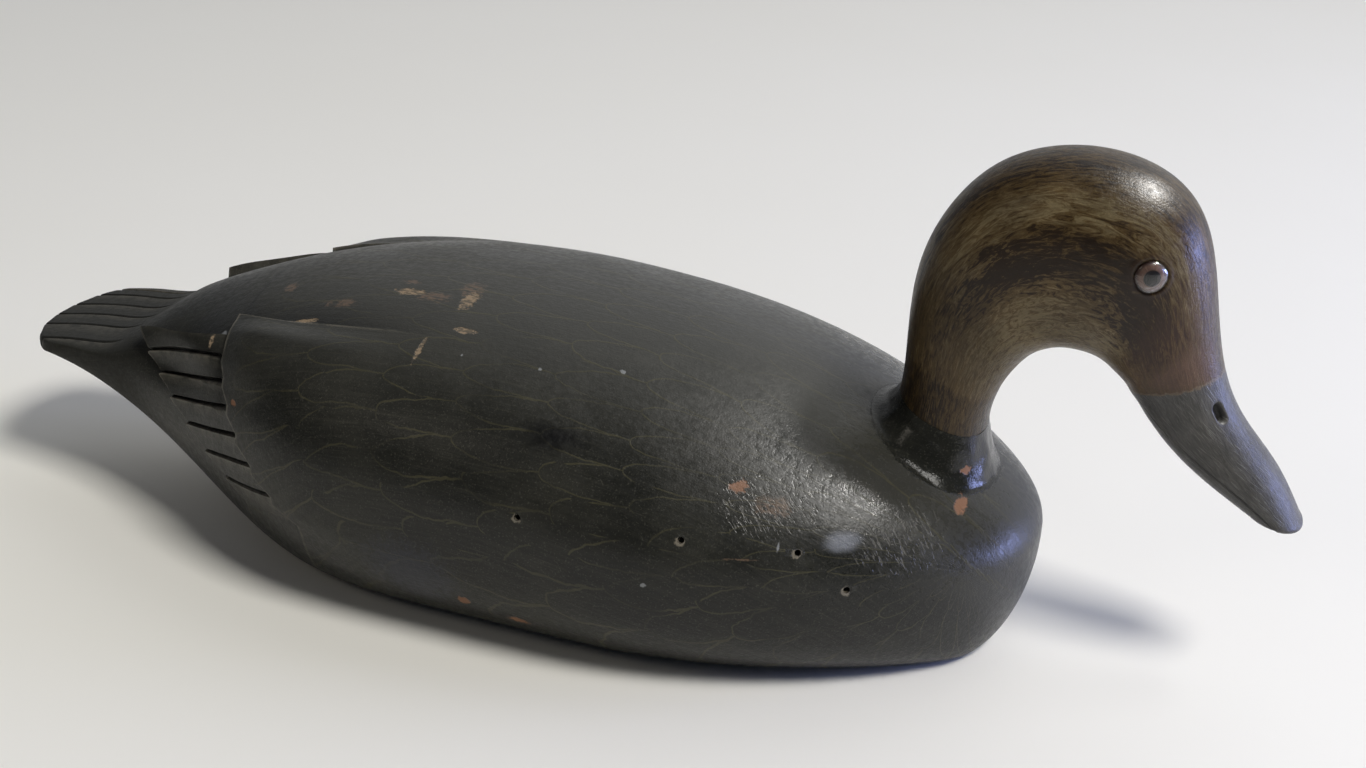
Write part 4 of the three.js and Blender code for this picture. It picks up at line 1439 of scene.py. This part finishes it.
def paint_body():
    tree, shader, place = painted_material(body_paint)
    lay = attribute(tree, "lay")["Vector"]
    along, _, off_collar = parts_of(tree, lay)
    coat = use_group(
        tree, groups["paint"], Place=place, Lay=lay, Paint=BODY_TINTS["charcoal"],
        Second_Paint=BODY_TINTS["streak"], Speck=BODY_TINTS["grit"], Streaks=0.45, Specks=0.28, Gloss=0.75,
    )
    ragged = ramp(tree, noise_of(tree, place, 420.0, 3.0, 0.7), 0.25, 0.75, -0.4, 0.4)
    grain = noise_of(tree, stretched(tree, place, (300.0, 900.0, 900.0)), 1.0, 3.0, 0.6)
    flaked = ramp(tree, grain, 0.38, 0.55)

    def marked(places, softness, raggedness=ragged):
        return spots(tree, places, place, raggedness, softness)

    line = drawn_line(tree, place, along, off_collar)
    nicks = scratched(tree, lay, Slant=-0.75, Length=3.4, Width=1.1, Amount=0.62)
    nicks = times(tree, nicks, marked(NICKED_PLACES, 0.4))
    bare = marked(BARE_WOOD, 0.25)
    primer = marked(ORANGE_PRIMER, 0.25)
    colour = laid_over(tree, coat["Color"], wear_and_painted_light_coats(tree, place, lay, line) + [
        (marked(DARK_STAINS, 0.9, times(tree, ragged, 0.3)), BODY_TINTS["stain"]),
        (times(tree, nicks, 0.7), BODY_TINTS["nick"]),
        # Painted blue reflection low on the rear flank.
        (times(tree, marked(BLUE_REFLECTION_PLACES, 0.6), 0.4), BODY_TINTS["bluish"]),
        (times(tree, marked(DIM_WOOD, 0.35), flaked, 0.6), BODY_TINTS["dim_wood"]),
        (times(tree, bare, sum_of(tree, "MAXIMUM", flaked, 0.3)), BODY_TINTS["bare_wood"]),
        (times(tree, primer, 0.8), BODY_TINTS["primer"]),
        (times(tree, marked(WHITE_MARKS, 0.3), 0.65), BODY_TINTS["white"]),
        (times(tree, marked(PAINT_DAB, 0.55, times(tree, ragged, 0.35)), 0.75), BODY_TINTS["dab"]),
        (times(tree, marked(hole_spots(RIM_RADIUS, RIM_SHIFT), 0.25), 0.5), BODY_TINTS["splinters"]),
        # Painted shade inside the holes.
        (marked(hole_spots(HOLE_DARK_RADIUS, 0), 0.05, 0.0), BODY_TINTS["hole"]),
    ])
    open_wood = sum_of(tree, "MAXIMUM", bare, primer)
    shiny = sum_of(tree, "MAXIMUM", minus(tree, 1.0, off_collar), marked(RUBBED_SHINY, 0.9))
    rough = plus(
        tree, coat["Roughness"], times(tree, open_wood, 0.3), ramp(tree, along, 50.0, 80.0, 0.3, 0.0))
    rough = minus(tree, rough, times(tree, shiny, 0.17), clamp=True)
    height = minus(tree, coat["Height"], times(tree, open_wood, 0.5), times(tree, nicks, 0.5))
    height = plus(tree, height, times(tree, line, 0.12))
    finish_material(tree, shader, colour, rough, height, bump=0.6)


paint_body()
print("body paint has", len(body_paint.node_tree.nodes), "nodes")

# %% [markdown]
# ## The head's paint
# The head is dark brown on the crown, streaked olive on the cheeks, with a darker mask behind the
# eye and a slate bill. The lay of its paint runs along the arch, so soft spots in those two measures
# put every colour where the brush put it, and the streaks bend with the neck.

# %% Head paint
BILL_PLACE = 169.4
NECK_PAINT_PLACE = 17.0
HEAD_TINTS = dict(
    paint=(0.5, 0.5, 0.5, 1), streak=(0.8, 0.8, 0.8, 1), grit=(1, 1, 1, 1),
    darkest=(0.014, 0.0075, 0.003), brown=(0.066, 0.041, 0.015), olive=(0.145, 0.112, 0.058),
    face=(0.085, 0.045, 0.032), pink=(0.15, 0.09, 0.07), eye_rim=(0.035, 0.02, 0.013),
    slate=(0.050, 0.048, 0.045), pale_slate=(0.088, 0.085, 0.078), stroke=(0.17, 0.165, 0.15),
    bill_line=(0.17, 0.14, 0.10), hollow=(0.008, 0.007, 0.006),
)
HEAD_TONES = [
    ((100, 52), (62, 13), 0.30), ((85, 128), (75, 36), 0.42), ((103, 79), (43, 17), -0.42),
    ((68, 88), (20, 15), -0.30), ((137, 101), (17, 19), -0.42), ((118, 106), (20, 12), -0.25),
    ((112, 8), (85, 30), -0.20), ((151, 95), (20, 42), -0.12), ((28, 95), (26, 60), -0.05),
]


def lay_spot(tree, lay, centre, size, ragged, softness):
    """A spot on the head's lay: places are mm along the arch and degrees round it."""
    return use_group(
        tree, groups["spot"], Place=lay, Centre=(centre[0], centre[1] * ROUND_SCALE, 0),
        Size=(size[0], size[1] * ROUND_SCALE, 1e3), Ragged=ragged, Softness=softness,
    )["Spot"]


def head_tone(tree, lay, along, whole_lay, streaks, ragged):
    """How light the brown is: streaked all over, lighter on the cheek, darker on mask and foot."""
    fine = noise_of(tree, stretched(tree, whole_lay, (0.2, 1.9, 1.0)), 1.0, 3.0, 0.7, 0.8)
    tone = plus(tree, ramp(tree, streaks, 0.3, 0.7, 0.02, 0.78), ramp(tree, fine, 0.3, 0.7, -0.16, 0.16))
    for centre, size, amount in HEAD_TONES:
        tone = plus(tree, tone, times(tree, lay_spot(tree, lay, centre, size, ragged, 0.6), amount))
    foot = plus(tree, along, times(tree, ragged, 3.0))
    dark_foot = ramp(tree, foot, NECK_PAINT_PLACE - 2.0, NECK_PAINT_PLACE + 1.0, 1.0, 0.0)
    return minus(tree, tone, times(tree, dark_foot, 0.25))


def paint_head():
    material = bpy.data.materials.new("head_paint")
    tree, shader, place = painted_material(material)
    whole_lay = attribute(tree, "lay")["Vector"]
    hollow = attribute(tree, "hollow")["Fac"]
    rim = attribute(tree, "rim")["Fac"]
    lay = stretched(tree, vector_sum(tree, "ABSOLUTE", whole_lay), (1.0, 1.0, 0.0))
    along = parts_of(tree, lay)[0]
    coat = use_group(
        tree, groups["paint"], Place=place, Lay=whole_lay, Paint=HEAD_TINTS["paint"],
        Second_Paint=HEAD_TINTS["streak"], Speck=HEAD_TINTS["grit"], Streaks=0.5, Specks=0.3, Gloss=0.75,
    )
    streaks = noise_of(tree, stretched(tree, whole_lay, (0.10, 0.5, 1.0)), 1.0, 5.0, 0.72, 1.8)
    ragged = ramp(tree, streaks, 0.25, 0.75, -0.4, 0.4)
    tone = head_tone(tree, lay, along, whole_lay, streaks, ragged)
    strokes = scratched(tree, whole_lay, Slant=0.5, Length=7.0, Width=0.8, Amount=0.5)
    slate = blend(tree, ramp(tree, streaks, 0.35, 0.65), HEAD_TINTS["slate"], HEAD_TINTS["pale_slate"])
    slate = blend(tree, times(tree, strokes, 0.45), slate, HEAD_TINTS["stroke"])
    bill_edge = plus(tree, along, ramp(tree, noise_of(tree, place, 500.0), 0.3, 0.7, -0.5, 0.5))
    bill = ramp(tree, bill_edge, BILL_PLACE - 0.2, BILL_PLACE + 0.3)
    from_edge = sum_of(tree, "ABSOLUTE", minus(tree, bill_edge, BILL_PLACE - 0.3))
    face = lay_spot(tree, lay, (156, 88), (18, 60), ragged, 0.5)
    pink = lay_spot(tree, lay, (163, 66), (7, 36), ragged, 0.5)
    brown = blend(tree, ramp(tree, tone, 0.0, 0.42), HEAD_TINTS["darkest"], HEAD_TINTS["brown"])
    colour = laid_over(tree, brown, [
        (ramp(tree, tone, 0.38, 1.05), HEAD_TINTS["olive"]),
        (times(tree, face, 0.35), HEAD_TINTS["face"]),
        (times(tree, pink, 0.4), HEAD_TINTS["pink"]),
        (times(tree, rim, 0.5, clamp=True), HEAD_TINTS["eye_rim"]),
        (bill, slate),
        (ramp(tree, from_edge, 0.2, 0.8, 0.5, 0.0), HEAD_TINTS["bill_line"]),
    ])
    colour = blend(tree, 1.0, colour, vector_sum(tree, "SCALE", coat["Color"], 1.7), blend_type="MULTIPLY")
    # Painted shade: the eye sockets, the nostril slots and the line between the bill's halves are darkened.
    colour = blend(tree, ramp(tree, hollow, 0.3, 1.0, 0.0, 0.9), colour, HEAD_TINTS["hollow"])
    height = plus(tree, coat["Height"], times(tree, streaks, 0.5), times(tree, strokes, bill, 0.3))
    finish_material(tree, shader, colour, coat["Roughness"], height, bump=0.55)
    head.data.materials.append(material)
    return material


head_paint = paint_head()
print("head paint has", len(head_paint.node_tree.nodes), "nodes")

# %% [markdown]
# ## Eye materials
# Clear glass needs no pattern, only its plain values. Some of it lets all light through, so that the
# lamps reach the iris behind it. The iris is painted by its distance from the axis: a black pupil, a
# reddish brown ring with fine spokes, and a dark border.

# %% Glass and iris
GLASS = {"Base Color": (1, 1, 1, 1), "Roughness": 0.02, "IOR": 1.5, "Transmission Weight": 1, "Alpha": 0.4}
IRIS_BORDER = (3.9, 4.7)
PUPIL_EDGE = (2.5, 2.9)
IRIS_TINTS = dict(
    dark=(0.085, 0.038, 0.024), light=(0.15, 0.095, 0.070), border=(0.03, 0.012, 0.009),
    pupil=(0.002, 0.002, 0.002),
)


def glass_material():
    material = bpy.data.materials.new("eye_glass_clear")
    _, shader, _ = painted_material(material)
    for name, value in GLASS.items():
        shader.inputs[name].default_value = value
    return material


def iris_material():
    material = bpy.data.materials.new("eye_iris")
    tree, shader, _ = painted_material(material)
    lay = attribute(tree, "lay")["Vector"]
    radius = vector_sum(tree, "LENGTH", lay)
    spokes = noise_of(tree, vector_sum(tree, "NORMALIZE", lay), 7.0, 4.0, 0.7)
    ring = blend(tree, ramp(tree, spokes, 0.3, 0.7), IRIS_TINTS["dark"], IRIS_TINTS["light"])
    colour = laid_over(tree, ring, [
        (ramp(tree, radius, *IRIS_BORDER), IRIS_TINTS["border"]),
        (ramp(tree, radius, *PUPIL_EDGE, 1.0, 0.0), IRIS_TINTS["pupil"]),
    ])
    link(tree, colour, shader.inputs["Base Color"])
    shader.inputs["Roughness"].default_value = 0.35
    return material


eye_materials = (glass_material(), iris_material())
for pieces in eyes.values():
    for piece, material in zip(pieces, eye_materials):
        piece.data.materials.append(material)
print("eye materials:", [material.name for material in eye_materials])

# %% [markdown]
# ## Each piece and its place in the CAD model
# Every piece is fixed to the one body of the model, and the CAD solids that it stands for are hidden.

# %% Riding and replacing
for piece, node in ((body, "body"), (head, "head")):
    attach(piece, "root")
    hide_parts(node)
for name, (glass, iris) in eyes.items():
    for piece in (glass, iris):
        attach(piece, "root")
    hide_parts("eye_" + name)
print("pieces:", [body.name, head.name] + [piece.name for pair in eyes.values() for piece in pair])

# %% [markdown]
# ## Floor and light
# The duck stands on a large pale floor, and warm light falls on it from high up ahead. One lamp is
# seen only in matt light and one only in reflections, because a single lamp gives no shadows and
# highlights that fit the photograph together. A cool lamp low down ahead tints the breast.

# %% Floor
FLOOR_HALF = 6.0
FLOOR_TINTS = ((0.89, 0.87, 0.80), (0.92, 0.905, 0.85))


def make_floor():
    corners = [(FLOOR_HALF * x, FLOOR_HALF * y, 0) for x, y in ((-1, -1), (1, -1), (1, 1), (-1, 1))]
    mesh = bpy.data.meshes.new("floor")
    mesh.from_pydata(corners, [], [(0, 1, 2, 3)])
    floor = bpy.data.objects.new("floor", mesh)
    bpy.context.scene.collection.objects.link(floor)
    material = bpy.data.materials.new("floor")
    tree, shader, place = painted_material(material)
    cloud = noise_of(tree, place, 3.0, 3.0)
    link(tree, blend(tree, cloud, *FLOOR_TINTS), shader.inputs["Base Color"])
    shader.inputs["Roughness"].default_value = 0.6
    mesh.materials.append(material)


make_floor()


# %% Lamps
LAMP_TARGET = Vector((0.05, 0, 0.08))
WARM_WHITE = (1.0, 0.98, 0.94)


def make_lamp(name, azimuth, elevation, distance, size, power, colour, lights=("paint", "gloss")):
    """A rectangular lamp that faces the duck. Azimuth is counted from ahead of it to its left."""
    turn, rise = math.radians(azimuth), math.radians(elevation)
    way = Vector((math.cos(turn) * math.cos(rise), math.sin(turn) * math.cos(rise), math.sin(rise)))
    lamp = bpy.data.lights.new(name, "AREA")
    lamp.shape = "RECTANGLE"
    lamp.size, lamp.size_y = size
    lamp.energy = power
    lamp.color = colour
    stand = bpy.data.objects.new(name, lamp)
    stand.location = LAMP_TARGET + way * distance
    stand.rotation_mode = "QUATERNION"
    stand.rotation_quaternion = way.to_track_quat("Z", "Y")
    stand.visible_camera = False
    stand.visible_diffuse = "paint" in lights
    stand.visible_glossy = "gloss" in lights
    bpy.context.scene.collection.objects.link(stand)


make_lamp("main", -19, 55, 3.5, (1.0, 1.0), 33.0, WARM_WHITE)
make_lamp("main_matt", -19, 55, 3.5, (1.0, 1.0), 62.0, WARM_WHITE, lights=("paint",))
make_lamp("shine", 27, 54, 2.2, (0.5, 0.25), 90.0, WARM_WHITE, lights=("gloss",))
make_lamp("cool_low", 18, 6, 1.3, (0.5, 0.35), 11.0, (0.40, 0.48, 1.0))
make_lamp("dim_side", -131, 38, 1.4, (0.4, 0.4), 1.0, (1.0, 0.92, 0.80))


# %% Light from all round
SKY_TINTS = ((0.6, 0.72, 1.0), (0.97, 0.98, 1.0))


def make_world():
    """Pale light from behind the duck, and dim bluish light from the side of the camera."""
    world = bpy.data.worlds.new("soft_light")
    world.use_nodes = True
    tree = world.node_tree
    way = add_node(tree, "ShaderNodeTexCoord").outputs["Generated"]
    split = parts_of(tree, way)
    behind = ramp(tree, split[1], -0.1, 0.75)
    to_left = ramp(tree, split[0], -0.9, 0.3, 0.3, 1.0)
    strength = times(tree, ramp(tree, behind, 0.0, 1.0, 0.06, 0.95), to_left)
    background = tree.nodes["Background"]
    link(tree, blend(tree, behind, *SKY_TINTS), background.inputs["Color"])
    link(tree, strength, background.inputs["Strength"])
    bpy.context.scene.world = world


make_world()
bpy.context.scene.view_settings.view_transform = "Standard"
